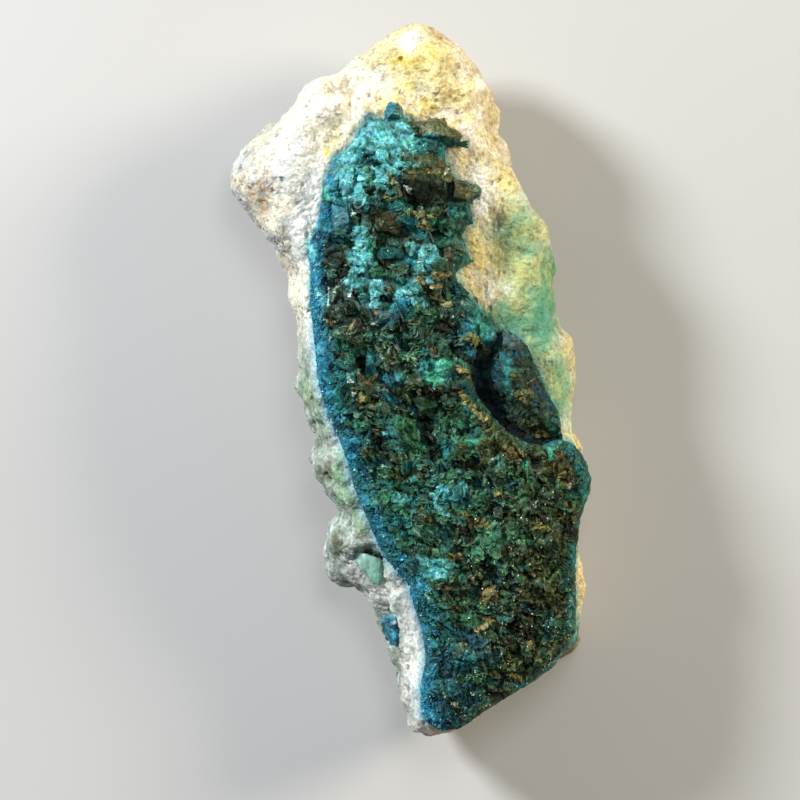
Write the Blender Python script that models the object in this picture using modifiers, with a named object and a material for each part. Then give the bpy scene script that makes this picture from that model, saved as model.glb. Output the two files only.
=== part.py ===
"""Veszelyite specimen: a crust of dark blue-green crystals on a broken piece of pale host rock.

The specimen lies on its broken back, with the crust up. X runs across it, Y along it towards the wide
end, and Z up; the origin is under the middle of its box. The tables are in millimetres, and every
shape is worked out in millimetres and scaled to Blender's metres when its mesh is stored.
"""

import math
import random

import bmesh
import bpy
import numpy as np
from mathutils import Euler, Matrix, Vector, noise

MM = 0.001  # one millimetre in Blender's metres

# Driving dimensions, in millimetres.
EDGE_Z = 7.6  # height of the top of the rock's broken side wall above the resting face, at x = 0
EDGE_TILT = 0.08  # that wall's top rises this much for each millimetre to the right
EDGE_WALL = 1.2  # the least height of the wall
BACK_RELIEF = 1.5  # how far the broken back rises off the resting face between the places it touches
BED_Z = 12.4  # height of the bed that the crust grew on, at the origin
BED_TILT = -0.11  # the bed falls this much for each millimetre to the right
BED_CROWN = 0.0012  # and this much for each square millimetre along the length
BED_TURN = 0.028  # and this much for each square millimetre past BED_TURN_X, where the face turns away
BED_TURN_X = 9.0
CLEARANCE = 0.3  # gap between two neighbouring solids
CRUST_THICKNESS = 1.5
CRUST_LIP = 0.45  # thickness of the crust at its very edge
CRUST_ROUNDING = 1.3  # width of the rounding from that lip to the full thickness
SINK = 0.25  # how far a crystal's foot is sunk into the crust's underside layer

SCATTERED_CRYSTALS = 165
SIDE_CLUSTER_CRYSTALS = 9

# Fineness of the meshes: voxels in millimetres, and triangles.
ROCK_VOXEL = 0.55
CRUST_VOXEL = 0.45
ROCK_TRIANGLES = 2900
CRUST_BASE_TRIANGLES = 1150
CRUST_TRIANGLES = 5200
GROUP_BASE_TRIANGLES = 180

# The widest edge of the specimen, clockwise from the top of the wide end.
WIDEST_EDGE = [
    (-0.5, 32.4), (0.6, 32.4), (1.2, 32.0), (2.1, 31.3), (2.9, 30.4), (4.0, 30.4), (4.7, 29.9),
    (5.2, 29.0), (6.1, 27.0), (6.4, 26.1), (6.8, 25.7), (7.0, 24.8), (7.0, 23.6), (7.7, 21.4),
    (8.4, 20.0), (9.4, 19.0), (9.7, 18.0), (10.4, 15.9), (11.2, 14.0), (11.5, 12.4), (12.0, 11.0),
    (13.0, 9.0), (12.8, 8.0), (13.0, 6.6), (12.8, 5.1), (13.0, 4.2), (14.3, 2.4), (14.2, -1.6),
    (14.5, -3.2), (14.4, -5.1), (14.9, -6.0), (15.4, -7.2), (15.8, -8.6), (15.8, -9.8),
    (15.4, -11.0), (15.0, -12.1), (15.1, -13.6), (15.4, -16.0), (15.6, -17.2), (16.0, -18.7),
    (15.7, -20.0), (15.2, -22.4), (14.9, -23.6), (13.9, -24.6), (12.5, -26.1), (11.0, -27.4),
    (9.0, -28.3), (7.0, -29.6), (5.5, -31.0), (4.4, -31.6), (3.1, -31.8), (2.2, -32.2),
    (1.2, -32.4), (0.6, -31.9), (0.0, -31.6), (-0.4, -30.8), (-0.9, -29.0), (-1.1, -27.0),
    (-1.3, -24.4), (-2.2, -23.9), (-2.9, -22.8), (-3.4, -21.3), (-3.8, -19.4), (-4.1, -18.9),
    (-5.0, -18.1), (-6.0, -17.9), (-6.6, -17.6), (-7.3, -16.2), (-8.0, -15.1), (-8.0, -14.5),
    (-7.8, -13.8), (-7.4, -13.2), (-6.8, -12.9), (-6.5, -12.1), (-7.0, -12.0), (-7.3, -11.4),
    (-8.5, -10.0), (-8.9, -9.5), (-9.05, -8.6), (-8.8, -6.7), (-8.4, -6.3), (-8.5, -4.2),
    (-9.4, -3.9), (-9.8, -3.2), (-9.6, -2.4), (-10.2, -1.0), (-10.4, 0.0), (-10.1, 2.8),
    (-10.4, 3.3), (-10.1, 5.9), (-10.6, 6.4), (-11.0, 7.4), (-10.6, 9.5), (-10.4, 10.1),
    (-11.0, 10.4), (-11.2, 11.2), (-12.6, 12.6), (-13.6, 13.6), (-14.6, 15.0), (-16.1, 17.3),
    (-16.4, 18.7), (-15.6, 20.0), (-15.2, 21.2), (-14.1, 22.1), (-12.0, 23.9), (-11.1, 24.8),
    (-10.3, 25.3), (-10.0, 26.3), (-9.2, 27.3), (-7.1, 28.4), (-5.0, 29.8), (-3.0, 31.1),
    (-1.9, 32.0),
]

# The front face: inside it the rock follows the bed, and outside it the rock falls to the widest edge.
FRONT_FACE = [
    (-1.0, 31.0), (1.0, 31.0), (3.0, 29.4), (4.3, 28.6), (5.2, 26.0), (6.0, 23.5), (6.3, 21.5),
    (8.0, 18.5), (9.2, 15.5), (10.2, 12.5), (11.4, 9.2), (11.6, 6.0), (12.4, 3.0), (13.2, 1.0),
    (13.4, -2.0), (13.8, -5.2), (15.3, -7.5), (15.7, -10.0), (14.8, -12.5), (14.7, -15.0),
    (14.6, -18.5), (14.5, -21.5), (14.1, -23.4), (12.2, -25.4), (9.0, -27.6), (6.2, -29.5),
    (4.2, -31.0), (2.4, -31.3), (1.0, -30.3), (0.9, -28.0), (1.4, -25.0), (1.1, -22.4),
    (0.2, -20.0), (-0.5, -17.5), (-2.4, -15.9), (-3.5, -13.0), (-4.9, -10.2), (-5.6, -7.3),
    (-6.9, -4.4), (-8.0, -1.5), (-8.5, 2.5), (-9.0, 7.0), (-9.1, 10.0), (-10.0, 12.8),
    (-10.5, 16.0), (-10.3, 20.0), (-9.8, 24.0), (-8.6, 26.3), (-5.5, 28.5), (-2.5, 30.6),
]

# The broken faces around the underside: a point of each one's foot, the way it faces in degrees from
# +X, its slope, and how far it reaches to each side.
UNDERSIDE_FACES = [
    (11.5, -20.0, 10, 1.9, 8), (11.0, -4.0, 5, 1.5, 9), (6.5, 12.0, 25, 1.25, 9), (3.4, 24.0, 40, 1.6, 7),
    (-1.0, 28.0, 95, 1.9, 6), (-8.5, 24.0, 130, 1.3, 7), (-12.0, 17.0, 190, 1.7, 5),
    (-9.5, 11.0, 225, 1.6, 3), (-7.2, 4.0, 190, 1.9, 8), (-5.2, -7.0, 195, 1.5, 6),
    (-3.2, -15.0, 215, 1.35, 6), (1.2, -22.0, 185, 2.0, 8), (2.6, -28.0, 265, 1.5, 6),
    (10.5, -24.0, 310, 1.7, 8),
]

# The places where the broken back touches what it rests on: x, y, radius.
RESTING_PLACES = [(-7.5, 19.0, 4.0), (2.0, 20.5, 3.6), (0.5, 4.0, 4.5), (7.2, -6.0, 4.2), (7.5, -20.0, 4.6)]

# The crust's outline, clockwise from the small crystals at its narrow upper end.
CRUST_OUTLINE = [
    (-3.9, 23.8), (-2.5, 23.4), (-0.8, 23.6), (0.4, 23.3), (2.4, 22.6), (3.0, 21.0), (3.0, 19.7),
    (3.8, 18.4), (5.0, 17.2), (5.2, 15.9), (5.3, 14.3), (4.4, 13.2), (4.9, 11.9), (4.8, 10.6),
    (3.8, 9.8), (4.4, 8.5), (5.5, 7.3), (6.3, 6.2), (6.1, 5.0), (6.4, 3.7), (5.8, 2.6), (5.3, 0.6),
    (6.0, -1.4), (7.2, -3.0), (8.4, -4.5), (10.0, -5.5), (11.6, -5.9), (13.2, -5.3), (14.4, -5.6),
    (15.4, -6.4), (16.0, -7.6), (16.3, -8.8), (16.2, -10.0), (15.8, -11.2), (15.3, -12.2), (15.0, -14.5),
    (14.8, -17.5), (14.9, -20.0), (14.9, -22.6), (14.3, -23.9), (12.6, -25.5), (11.1, -27.1),
    (9.2, -28.2), (7.5, -29.1), (5.6, -30.6), (4.3, -31.4), (2.8, -31.4), (1.8, -31.0),
    (1.0, -30.3), (0.9, -27.5), (1.4, -25.0), (1.1, -22.4), (0.3, -20.2), (-0.1, -18.3),
    (-1.3, -16.9), (-2.4, -15.8), (-3.2, -14.0), (-4.0, -12.0), (-5.1, -9.4), (-5.6, -7.3),
    (-6.3, -5.3), (-7.3, -3.5), (-8.2, -0.3), (-8.5, 2.5), (-9.0, 7.0), (-8.9, 9.8),
    (-9.3, 12.0), (-8.6, 13.3), (-8.1, 15.0), (-7.9, 17.2), (-7.0, 19.8), (-5.3, 21.1),
    (-4.4, 22.8),
]

# The group of crystals on the right, parted from the crust by a deep cleft.
RIGHT_GROUP_OUTLINE = [
    (7.7, 4.0), (8.4, 4.5), (9.4, 4.1), (10.3, 3.1), (11.0, 1.7), (11.7, 0.3), (12.1, -1.0),
    (12.8, -2.2), (13.2, -3.5), (13.2, -4.6), (11.2, -4.9), (9.4, -3.7), (8.2, -2.4), (7.4, -0.8),
    (7.0, 1.0), (7.3, 2.8),
]

# The floor of the deep cleft between the crust and that group.
CLEFT = [(5.6, 4.6), (6.6, 2.2), (6.6, -0.6), (7.7, -3.2), (9.8, -4.7), (12.2, -5.3)]

# Low rounded lumps on the rock's sides: x, y, radius, rise.
ROCK_LUMPS = [
    (-9.9, 7.6, 1.5, 0.8), (-9.6, 2.8, 1.1, 0.4), (-9.4, -0.6, 1.6, 0.7), (-9.1, -3.0, 1.1, 0.7),
    (-8.0, -8.4, 1.9, 1.2), (-6.6, -14.6, 1.8, 1.3), (-6.3, -17.0, 1.2, 0.7), (-6.2, -10.8, 1.4, 0.5),
    (-13.8, 18.0, 2.4, 0.8), (-12.6, 21.6, 1.8, 0.5), (-11.6, 13.6, 1.5, 0.5), (1.5, 28.4, 2.6, 0.5),
    (5.6, 22.6, 1.6, 0.5), (7.4, 8.4, 0.9, 0.5), (8.3, 5.9, 1.0, 0.5), (13.6, 2.0, 1.0, 0.5),
    (6.4, 15.9, 1.0, 0.5), (-9.8, 14.2, 1.3, 0.4), (-7.6, 24.6, 1.7, 0.5), (9.6, 14.4, 1.6, 0.4),
]

# Hollows in it: x, y, radius, depth.
ROCK_HOLLOWS = [
    (-7.6, -8.6, 0.9, 0.8), (-6.7, -14.9, 0.8, 0.9), (-14.0, 17.6, 0.8, 0.6), (-12.9, 19.2, 0.8, 0.4),
    (-10.3, 17.5, 0.6, 0.4), (-7.2, 22.4, 0.9, 0.5), (-8.2, 20.9, 0.7, 0.4), (7.6, 8.9, 0.5, 0.4),
    (-9.7, 6.4, 0.7, 0.4), (-9.2, -1.8, 0.7, 0.4), (-5.1, -14.4, 0.5, 0.4), (-4.6, -11.2, 0.6, 0.3),
]

# Swellings of the crust: x, y, radius, rise.
CRUST_LUMPS = [
    (1.4, 17.4, 4.2, 1.0), (-4.4, 15.0, 3.0, 0.6), (0.4, 8.6, 3.6, 0.6), (-3.6, 5.0, 3.0, 0.5),
    (-1.8, 21.0, 2.6, 0.5), (3.0, -10.0, 4.0, 0.4), (9.6, -14.6, 4.4, 0.5), (12.6, -8.4, 2.6, 0.4),
    (6.0, -24.4, 3.6, 0.5), (2.4, -18.6, 2.4, 0.4), (-3.0, -4.4, 3.2, 0.4),
]

# Hollows in the crust: x, y, radius, depth.
CRUST_HOLLOWS = [
    (1.5, -4.6, 1.5, 1.0), (-4.4, 1.7, 1.1, 0.9), (-0.4, 16.2, 1.0, 0.8), (-2.2, 7.6, 1.0, 0.7),
    (5.0, -1.0, 1.2, 0.8), (-1.0, 3.9, 1.3, 0.7), (7.2, -17.5, 1.0, 0.5), (12.2, -20.6, 1.3, 0.5),
]

# The largest crystals, each the convex hull of its foot's corners and of its summits. A foot's corners
# are x, y; a summit is x, y and its height above the bed.
LARGE_CRYSTALS = {
    "top_spur": (
        [(-2.4, 23.4), (-2.3, 24.3), (-0.8, 24.5), (-0.7, 23.4)],
        [(-1.9, 25.0, 1.6), (-1.2, 24.9, 1.9), (-1.7, 23.9, 2.7), (-1.1, 23.8, 2.5)],
    ),
    "top_roof": (
        [(0.0, 23.2), (2.3, 23.7), (3.3, 23.0), (4.6, 21.3), (2.9, 21.2), (0.9, 21.6)],
        [(0.6, 22.9, 1.9), (2.3, 23.1, 2.3), (3.9, 21.9, 1.8), (1.5, 22.0, 2.6), (2.9, 22.0, 2.5)],
    ),
    "dark_block": (
        [(-1.0, 19.7), (1.0, 20.2), (3.3, 19.4), (3.9, 18.1), (3.5, 15.6), (0.9, 15.0), (-0.4, 16.6)],
        [(-0.5, 19.3, 2.8), (3.3, 18.7, 3.3), (-0.6, 18.1, 3.7), (3.0, 17.6, 3.9), (3.0, 15.9, 2.9),
         (1.0, 15.6, 2.6)],
    ),
    "square_tip": (
        [(3.5, 18.2), (5.0, 17.9), (6.15, 17.0), (5.3, 16.0), (3.5, 15.8)],
        [(3.9, 17.8, 3.1), (4.9, 17.7, 2.9), (5.7, 17.0, 2.5), (4.9, 16.3, 2.8), (3.8, 16.4, 3.1)],
    ),
    "lower_tip": (
        [(2.8, 16.1), (5.3, 16.1), (5.6, 14.2), (4.4, 13.9), (2.8, 14.2)],
        [(3.3, 15.7, 2.6), (4.9, 15.6, 2.3), (5.1, 14.7, 1.7), (3.4, 14.6, 2.1)],
    ),
    "striped_fan": (
        [(2.4, 12.6), (3.5, 13.5), (4.6, 12.9), (5.45, 10.8), (4.3, 10.1), (2.8, 10.1)],
        [(2.9, 12.6, 2.2), (3.7, 13.0, 2.0), (4.7, 11.7, 2.2), (4.6, 10.9, 1.8), (3.0, 11.0, 2.5)],
    ),
    "teal_wedge": (
        [(-1.0, 15.0), (0.6, 14.6), (1.7, 12.9), (0.3, 12.5), (-0.7, 13.0)],
        [(-0.7, 14.8, 2.9), (0.5, 14.4, 2.8), (1.3, 13.1, 2.0), (0.0, 12.9, 1.8)],
    ),
    "pale_blade": (
        [(-0.5, 15.4), (1.4, 15.3), (3.0, 14.1), (1.5, 13.8), (0.4, 14.5)],
        [(0.0, 15.2, 2.9), (1.3, 14.9, 3.0), (2.6, 14.2, 2.5), (1.2, 14.3, 2.9)],
    ),
    "brown_sheaf": (
        [(-4.0, 15.2), (-2.0, 15.6), (-0.8, 14.3), (-1.0, 13.0), (-3.2, 13.0)],
        [(-3.3, 14.9, 2.7), (-1.9, 15.1, 3.1), (-1.3, 14.1, 3.0), (-2.9, 13.5, 2.6), (-1.5, 13.3, 2.6)],
    ),
    "left_columns": (
        [(-7.7, 16.4), (-5.6, 16.6), (-5.0, 14.0), (-5.6, 12.9), (-7.6, 13.2)],
        [(-7.1, 16.0, 1.7), (-5.9, 16.1, 2.2), (-5.5, 14.2, 2.6), (-6.9, 13.6, 2.0)],
    ),
    "left_dark": (
        [(-8.2, 12.4), (-5.4, 12.6), (-4.9, 10.9), (-6.3, 9.0), (-8.0, 9.6)],
        [(-7.6, 12.0, 1.9), (-5.8, 12.1, 2.5), (-5.5, 11.0, 2.5), (-7.0, 9.7, 2.2)],
    ),
    "white_edged_blade": (
        [(-8.1, 6.3), (-7.3, 8.3), (-5.2, 9.6), (-4.9, 8.7), (-7.0, 6.1)],
        [(-7.5, 6.6, 2.0), (-6.9, 8.0, 2.7), (-5.4, 9.2, 2.6), (-5.4, 8.6, 2.3)],
    ),
    "middle_block": (
        [(-3.2, 12.2), (-0.4, 12.1), (0.0, 10.9), (-1.6, 10.2), (-3.2, 10.6)],
        [(-2.7, 11.9, 2.5), (-0.8, 11.7, 2.6), (-0.7, 11.0, 2.3), (-2.6, 10.9, 2.3)],
    ),
    "plate_1": (
        [(2.2, 9.9), (3.6, 9.6), (3.7, 9.0), (2.4, 9.2)],
        [(2.5, 9.7, 2.4), (3.4, 9.4, 2.0), (2.6, 9.4, 2.3)],
    ),
    "plate_2": (
        [(0.5, 9.1), (2.9, 8.8), (3.1, 8.1), (0.8, 8.5)],
        [(0.8, 8.9, 2.7), (2.7, 8.5, 2.4), (1.0, 8.7, 2.8)],
    ),
    "plate_3": (
        [(1.2, 7.9), (3.5, 7.4), (3.6, 6.4), (1.6, 7.1)],
        [(1.6, 7.6, 2.7), (3.3, 7.0, 2.5), (1.9, 7.3, 2.8)],
    ),
    "left_brown": (
        [(-7.4, 5.9), (-4.4, 6.1), (-3.4, 4.4), (-4.8, 3.2), (-7.0, 3.6)],
        [(-6.7, 5.5, 2.1), (-4.7, 5.6, 2.6), (-4.0, 4.4, 2.5), (-6.2, 4.0, 2.3)],
    ),
    "blue_slab": (
        [(-3.8, 6.4), (-1.3, 6.6), (-0.8, 5.5), (-3.5, 4.6)],
        [(-3.3, 6.1, 2.6), (-1.6, 6.2, 2.7), (-1.5, 5.6, 2.4), (-3.2, 5.0, 2.3)],
    ),
    "mint_block": (
        [(1.9, 0.6), (2.4, 2.2), (3.8, 1.9), (3.8, 0.8), (2.6, -0.2)],
        [(2.3, 0.9, 2.3), (2.7, 1.9, 2.5), (3.5, 1.5, 2.4), (2.9, 0.5, 2.2)],
    ),
    "beige_blade": (
        [(3.8, 1.2), (4.6, 1.4), (5.5, 0.7), (5.3, 0.3), (4.2, 0.5)],
        [(4.1, 1.1, 2.5), (5.1, 0.7, 2.2), (4.4, 0.8, 2.6)],
    ),
    "teal_edge": (
        [(4.3, 7.9), (5.3, 7.6), (6.5, 6.1), (5.2, 5.7), (3.9, 6.4)],
        [(4.5, 7.3, 1.9), (5.4, 6.8, 1.5), (5.1, 6.2, 1.6), (4.3, 6.8, 2.1)],
    ),
    "green_facet": (
        [(2.9, -5.0), (5.9, -5.6), (5.5, -6.6), (4.3, -7.0), (3.2, -6.0)],
        [(3.5, -5.3, 2.3), (5.4, -5.8, 2.3), (4.4, -6.6, 2.1)],
    ),
    "green_ridge": (
        [(-1.2, -3.0), (0.5, -3.2), (0.9, -5.6), (-0.6, -5.8)],
        [(-0.7, -3.4, 2.1), (0.1, -3.6, 2.5), (0.4, -5.2, 2.4), (-0.4, -5.3, 2.0)],
    ),
    "tan_facet": (
        [(6.0, -19.0), (6.9, -18.3), (8.1, -18.9), (7.9, -19.9), (6.4, -20.2)],
        [(6.4, -19.1, 2.1), (7.6, -19.0, 2.3), (7.3, -19.7, 2.2)],
    ),
}

# The crystals of the right-hand group, in the same form.
RIGHT_GROUP_CRYSTALS = {
    "upper": (
        [(7.5, 3.7), (8.2, 4.6), (9.4, 4.1), (10.4, 3.1), (10.8, 1.8), (8.6, 1.0), (7.3, 2.2)],
        [(8.0, 3.8, 2.3), (9.2, 3.6, 2.4), (10.1, 2.6, 2.3), (9.6, 1.6, 3.2), (8.2, 2.2, 3.3)],
    ),
    "middle": (
        [(7.2, 1.9), (9.2, 2.1), (11.5, 0.9), (12.1, -0.9), (9.0, -1.9), (7.3, -0.9)],
        [(8.0, 1.2, 3.0), (9.6, 0.9, 3.6), (11.2, 0.2, 2.7), (9.8, -1.0, 3.2), (8.2, -0.7, 2.6)],
    ),
    "lower": (
        [(8.6, -1.0), (11.9, -0.6), (13.3, -3.5), (13.4, -4.7), (11.2, -5.0), (9.2, -3.4)],
        [(10.2, -1.5, 3.2), (11.8, -1.6, 2.7), (12.7, -3.8, 2.0), (11.2, -4.1, 2.2), (10.1, -2.8, 2.9)],
    ),
}

# A small cluster of blue crystals in a hollow of the left side, low down: centre and half sizes.
SIDE_CLUSTER_CENTRE = (-1.75, -22.7, 9.2)
SIDE_CLUSTER_HALF = (1.0, 1.6, 1.3)

# A smooth mint-green nodule in another hollow above it.
NODULE_CENTRE = (-3.75, -16.9, 9.6)
NODULE_HALF = (1.35, 1.75, 1.3)


# ---------------------------------------------------------------- outlines and heights, in millimetres


def distance_to(outline, points):
    """Each point's distance from a closed outline, in plan."""
    start = np.array(outline, float)
    step = np.roll(start, -1, axis=0) - start
    offset = points[:, None, :] - start[None]
    share = (offset * step).sum(2) / (step * step).sum(1)
    nearest = offset - np.clip(share, 0, 1)[..., None] * step
    return np.sqrt((nearest**2).sum(2)).min(1)


def inside(outline, points):
    """Whether each point lies inside a closed outline, in plan."""
    start = np.array(outline, float)
    end = np.roll(start, -1, axis=0)
    x, y = points[:, 0, None], points[:, 1, None]
    spans = (start[:, 1] > y) != (end[:, 1] > y)
    rise = np.where(end[:, 1] == start[:, 1], 1.0, end[:, 1] - start[:, 1])
    crossing = start[:, 0] + (y - start[:, 1]) / rise * (end[:, 0] - start[:, 0])
    return ((spans & (x < crossing)).sum(1) % 2).astype(bool)


def bed_height(points):
    """The gently crowned bed under the crust, which turns away along its right edge."""
    x, y = points[:, 0], points[:, 1]
    turn = BED_TURN * np.clip(x - BED_TURN_X, 0, None) ** 2
    return BED_Z + BED_TILT * x - BED_CROWN * y**2 - turn + 0.25 * np.sin(0.45 * x + 0.21 * y)


def edge_height(points):
    return EDGE_Z + EDGE_TILT * points[:, 0]


def share_outside(inner, points):
    """0 on and inside the inner outline, growing to 1 at the widest edge."""
    to_inner = np.where(inside(inner, points), 0.0, distance_to(inner, points))
    return to_inner / np.maximum(to_inner + distance_to(WIDEST_EDGE, points), 1e-6)


def bumps(table, points):
    """The sum of a table's round bumps: x, y, radius, rise."""
    total = np.zeros(len(points))
    for x, y, radius, rise in table:
        away = np.hypot(points[:, 0] - x, points[:, 1] - y) / radius
        total += rise * np.clip(1 - away**2, 0, None)
    return total


def cleft_depth(points):
    away = np.full(len(points), 9.0)
    for start, end in zip(np.array(CLEFT), np.array(CLEFT)[1:]):
        step = end - start
        share = np.clip((points - start) @ step / (step @ step), 0, 1)
        away = np.minimum(away, np.hypot(*(points - start - share[:, None] * step).T))
    return 1.6 * np.clip(1 - (away / 0.8) ** 2, 0, None)


def rock_top(points):
    share = share_outside(FRONT_FACE, points)
    low = edge_height(points)
    top = low + (bed_height(points) - low) * (1 - share**1.6)
    return top + bumps(ROCK_LUMPS, points) - bumps(ROCK_HOLLOWS, points) - cleft_depth(points)


def rock_bottom(points):
    """The broken back, just below the resting plane where it rests, and the faces around it."""
    relief = np.array([noise.fractal(Vector((x, y, 4)) / 9.0, 1.0, 2.0, 3) for x, y in points])
    feet = bumps([(x, y, radius, 2.6) for x, y, radius in RESTING_PLACES], points)
    bottom = np.maximum(BACK_RELIEF * (0.75 + relief) - feet, -0.6)
    for x, y, facing, slope, reach in UNDERSIDE_FACES:
        cos, sin = math.cos(math.radians(facing)), math.sin(math.radians(facing))
        out = (points[:, 0] - x) * cos + (points[:, 1] - y) * sin
        along = np.abs((points[:, 1] - y) * cos - (points[:, 0] - x) * sin)
        bottom = np.maximum(bottom, slope * out - 1.1 * np.clip(along - reach, 0, None))
    return np.minimum(bottom, edge_height(points) - EDGE_WALL)


def crust_underside(points):
    return bed_height(points) + CLEARANCE


def crust_top(outline, thickness, points):
    """The crust's lumpy top, rounded down to a thin lip at its outline."""
    inwards = np.clip(distance_to(outline, points) / CRUST_ROUNDING, 0, 1)
    rounding = np.sqrt(1 - (1 - inwards) ** 2)
    lumps = np.array([noise.fractal(Vector((x, y, 0)) / 2.6, 1.0, 2.0, 3) for x, y in points])
    full = thickness + 0.55 * lumps + bumps(CRUST_LUMPS, points) - bumps(CRUST_HOLLOWS, points)
    return crust_underside(points) + CRUST_LIP + np.maximum(full - CRUST_LIP, 0.15) * rounding


def chips(point, size):
    """Flat chips at all tilts, each one joined to the next by a short steep step, from -1 to 1."""
    distances, centres = noise.voronoi(point / size)
    heights = []
    for centre in centres[:2]:
        tilt = 2 * noise.cell_vector(centre * 9.7) - Vector((1, 1, 1))
        heights.append(0.5 * tilt.z + (point / size - centre).dot(tilt))
    steep = min((distances[1] - distances[0]) / 0.25, 1.0)
    return heights[0] * (1 + steep) / 2 + heights[1] * (1 - steep) / 2


def broken_relief(point):
    """The rock's chipped and grainy relief."""
    grain = noise.fractal(point / 1.7, 0.9, 2.1, 3)
    return 1.9 * chips(point, 6.5) + 0.8 * chips(point, 2.7) + 0.16 * grain


# ---------------------------------------------------------------- solids


def stored(name, mesh_mm, colour, roughness, collection):
    """An object in metres, with a material of its own, from a mesh in millimetres."""
    mesh_mm.transform(Matrix.Scale(MM, 4))
    mesh_mm.name = name
    part = bpy.data.objects.new(name, mesh_mm)
    collection.objects.link(part)
    material = bpy.data.materials.new(name)
    material.use_nodes = True
    shader = material.node_tree.nodes["Principled BSDF"]
    shader.inputs["Base Color"].default_value = (*colour, 1)
    shader.inputs["Roughness"].default_value = roughness
    mesh_mm.materials.clear()
    mesh_mm.materials.append(material)
    return part


def with_modifier(mesh, kind, **settings):
    """The mesh that a modifier makes of a mesh."""
    work = bpy.data.objects.new("work", mesh)
    bpy.context.scene.collection.objects.link(work)
    modifier = work.modifiers.new("work", kind)
    for key, value in settings.items():
        setattr(modifier, key, value)
    made = bpy.data.meshes.new_from_object(work.evaluated_get(bpy.context.evaluated_depsgraph_get()))
    bpy.data.objects.remove(work)
    return made


def remeshed(mesh, voxel):
    return with_modifier(mesh, "REMESH", mode="VOXEL", voxel_size=voxel)


def decimated(mesh, triangles):
    mesh.calc_loop_triangles()
    return with_modifier(mesh, "DECIMATE", ratio=triangles / len(mesh.loop_triangles))


def slab(outline, height):
    """A flat outline filled and raised to a height, as an even mesh."""
    curve = bpy.data.curves.new("outline", "CURVE")
    curve.dimensions = "2D"
    curve.fill_mode = "BOTH"
    curve.extrude = height / 2
    spline = curve.splines.new("POLY")
    spline.points.add(len(outline) - 1)
    for point, (x, y) in zip(spline.points, outline):
        point.co = (x, y, 0, 1)
    spline.use_cyclic_u = True
    work = bpy.data.objects.new("outline", curve)
    bpy.context.scene.collection.objects.link(work)
    mesh = bpy.data.meshes.new_from_object(work.evaluated_get(bpy.context.evaluated_depsgraph_get()))
    bpy.data.objects.remove(work)
    mesh.transform(Matrix.Translation((0, 0, height / 2)))
    shape = bmesh.new()
    shape.from_mesh(mesh)
    bmesh.ops.remove_doubles(shape, verts=shape.verts, dist=1e-4)
    bmesh.ops.recalc_face_normals(shape, faces=shape.faces)
    shape.to_mesh(mesh)
    shape.free()
    return mesh


def coordinates(mesh):
    co = np.empty(len(mesh.vertices) * 3, np.float32)
    mesh.vertices.foreach_get("co", co)
    return co.reshape(-1, 3).astype(float)


def set_coordinates(mesh, co):
    mesh.vertices.foreach_set("co", co.astype(np.float32).ravel())
    mesh.update()


def draped(mesh, height, bottom, top):
    """Moves a slab's points so that its bottom follows one height function and its top another."""
    co = coordinates(mesh)
    share = np.clip(co[:, 2] / height, 0, 1)
    low, high = bottom(co[:, :2]), top(co[:, :2])
    co[:, 2] = low + share * (high - low)
    set_coordinates(mesh, co)
    return mesh


def hull(points):
    """The convex hull of points, as a closed shape with flat faces."""
    shape = bmesh.new()
    for point in points:
        shape.verts.new(point)
    made = bmesh.ops.convex_hull(shape, input=shape.verts)
    bmesh.ops.delete(shape, geom=made["geom_interior"], context="VERTS")
    bmesh.ops.recalc_face_normals(shape, faces=shape.faces)
    return shape


def crystal(length, width, height, matrix):
    """A wedge-shaped crystal: flat sides that meet in a ridge, shorter than its foot."""
    foot = [(x * length / 2, y * width / 2, -0.5 * height) for x in (-1, 1) for y in (-1, 1)]
    ridge = [(-0.32 * length, 0.1 * width, height), (0.26 * length, -0.1 * width, 0.85 * height)]
    shape = hull(foot + ridge)
    shape.transform(matrix)
    return shape


def ellipsoid(centre, half, across, along):
    """A closed ellipsoid with flat faces."""
    shape = bmesh.new()
    bmesh.ops.create_uvsphere(shape, u_segments=across, v_segments=along, radius=1)
    shape.transform(Matrix.Translation(centre) @ Matrix.Diagonal((*half, 1)))
    return shape


def hollow(centre, half):
    """An uneven hollow, everywhere clear of the ellipsoid that lies in it."""
    shape = ellipsoid(centre, [size + CLEARANCE + 0.1 for size in half], 12, 8)
    for vertex in shape.verts:
        away = vertex.co - Vector(centre)
        vertex.co += (0.35 + 0.5 * noise.noise(vertex.co / 1.3)) * away.normalized()
    return shape


def joined(shapes):
    """One mesh from several shapes, each still a closed surface of its own."""
    whole = bmesh.new()
    for shape in shapes:
        part = bpy.data.meshes.new("part")
        shape.to_mesh(part)
        shape.free()
        whole.from_mesh(part)
        bpy.data.meshes.remove(part)
    mesh = bpy.data.meshes.new("joined")
    whole.to_mesh(mesh)
    whole.free()
    return mesh


def united(mesh, other):
    """The mesh joined with another."""
    tool = bpy.data.objects.new("joined", other)
    bpy.context.scene.collection.objects.link(tool)
    made = with_modifier(mesh, "BOOLEAN", operation="UNION", solver="EXACT", object=tool, use_self=True)
    bpy.data.objects.remove(tool)
    return made


def cut(mesh, name, other, cutters):
    """The mesh with another cut from it. The cutter stays, in metres, as a hidden wire object."""
    cutter = bpy.data.objects.new(name, other)
    cutters.objects.link(cutter)
    cutter.hide_render = True
    cutter.display_type = "WIRE"
    made = with_modifier(mesh, "BOOLEAN", operation="DIFFERENCE", solver="EXACT", object=cutter)
    other.transform(Matrix.Scale(MM, 4))
    return made


def islands_of(shape):
    """The separate closed surfaces of a shape, each a list of faces, the smallest first."""
    islands = []
    waiting = set(shape.faces)
    while waiting:
        front = [waiting.pop()]
        island = []
        while front:
            face = front.pop()
            island.append(face)
            beside = {other for edge in face.edges for other in edge.link_faces} & waiting
            waiting -= beside
            front.extend(beside)
        islands.append(island)
    return sorted(islands, key=len)


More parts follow.
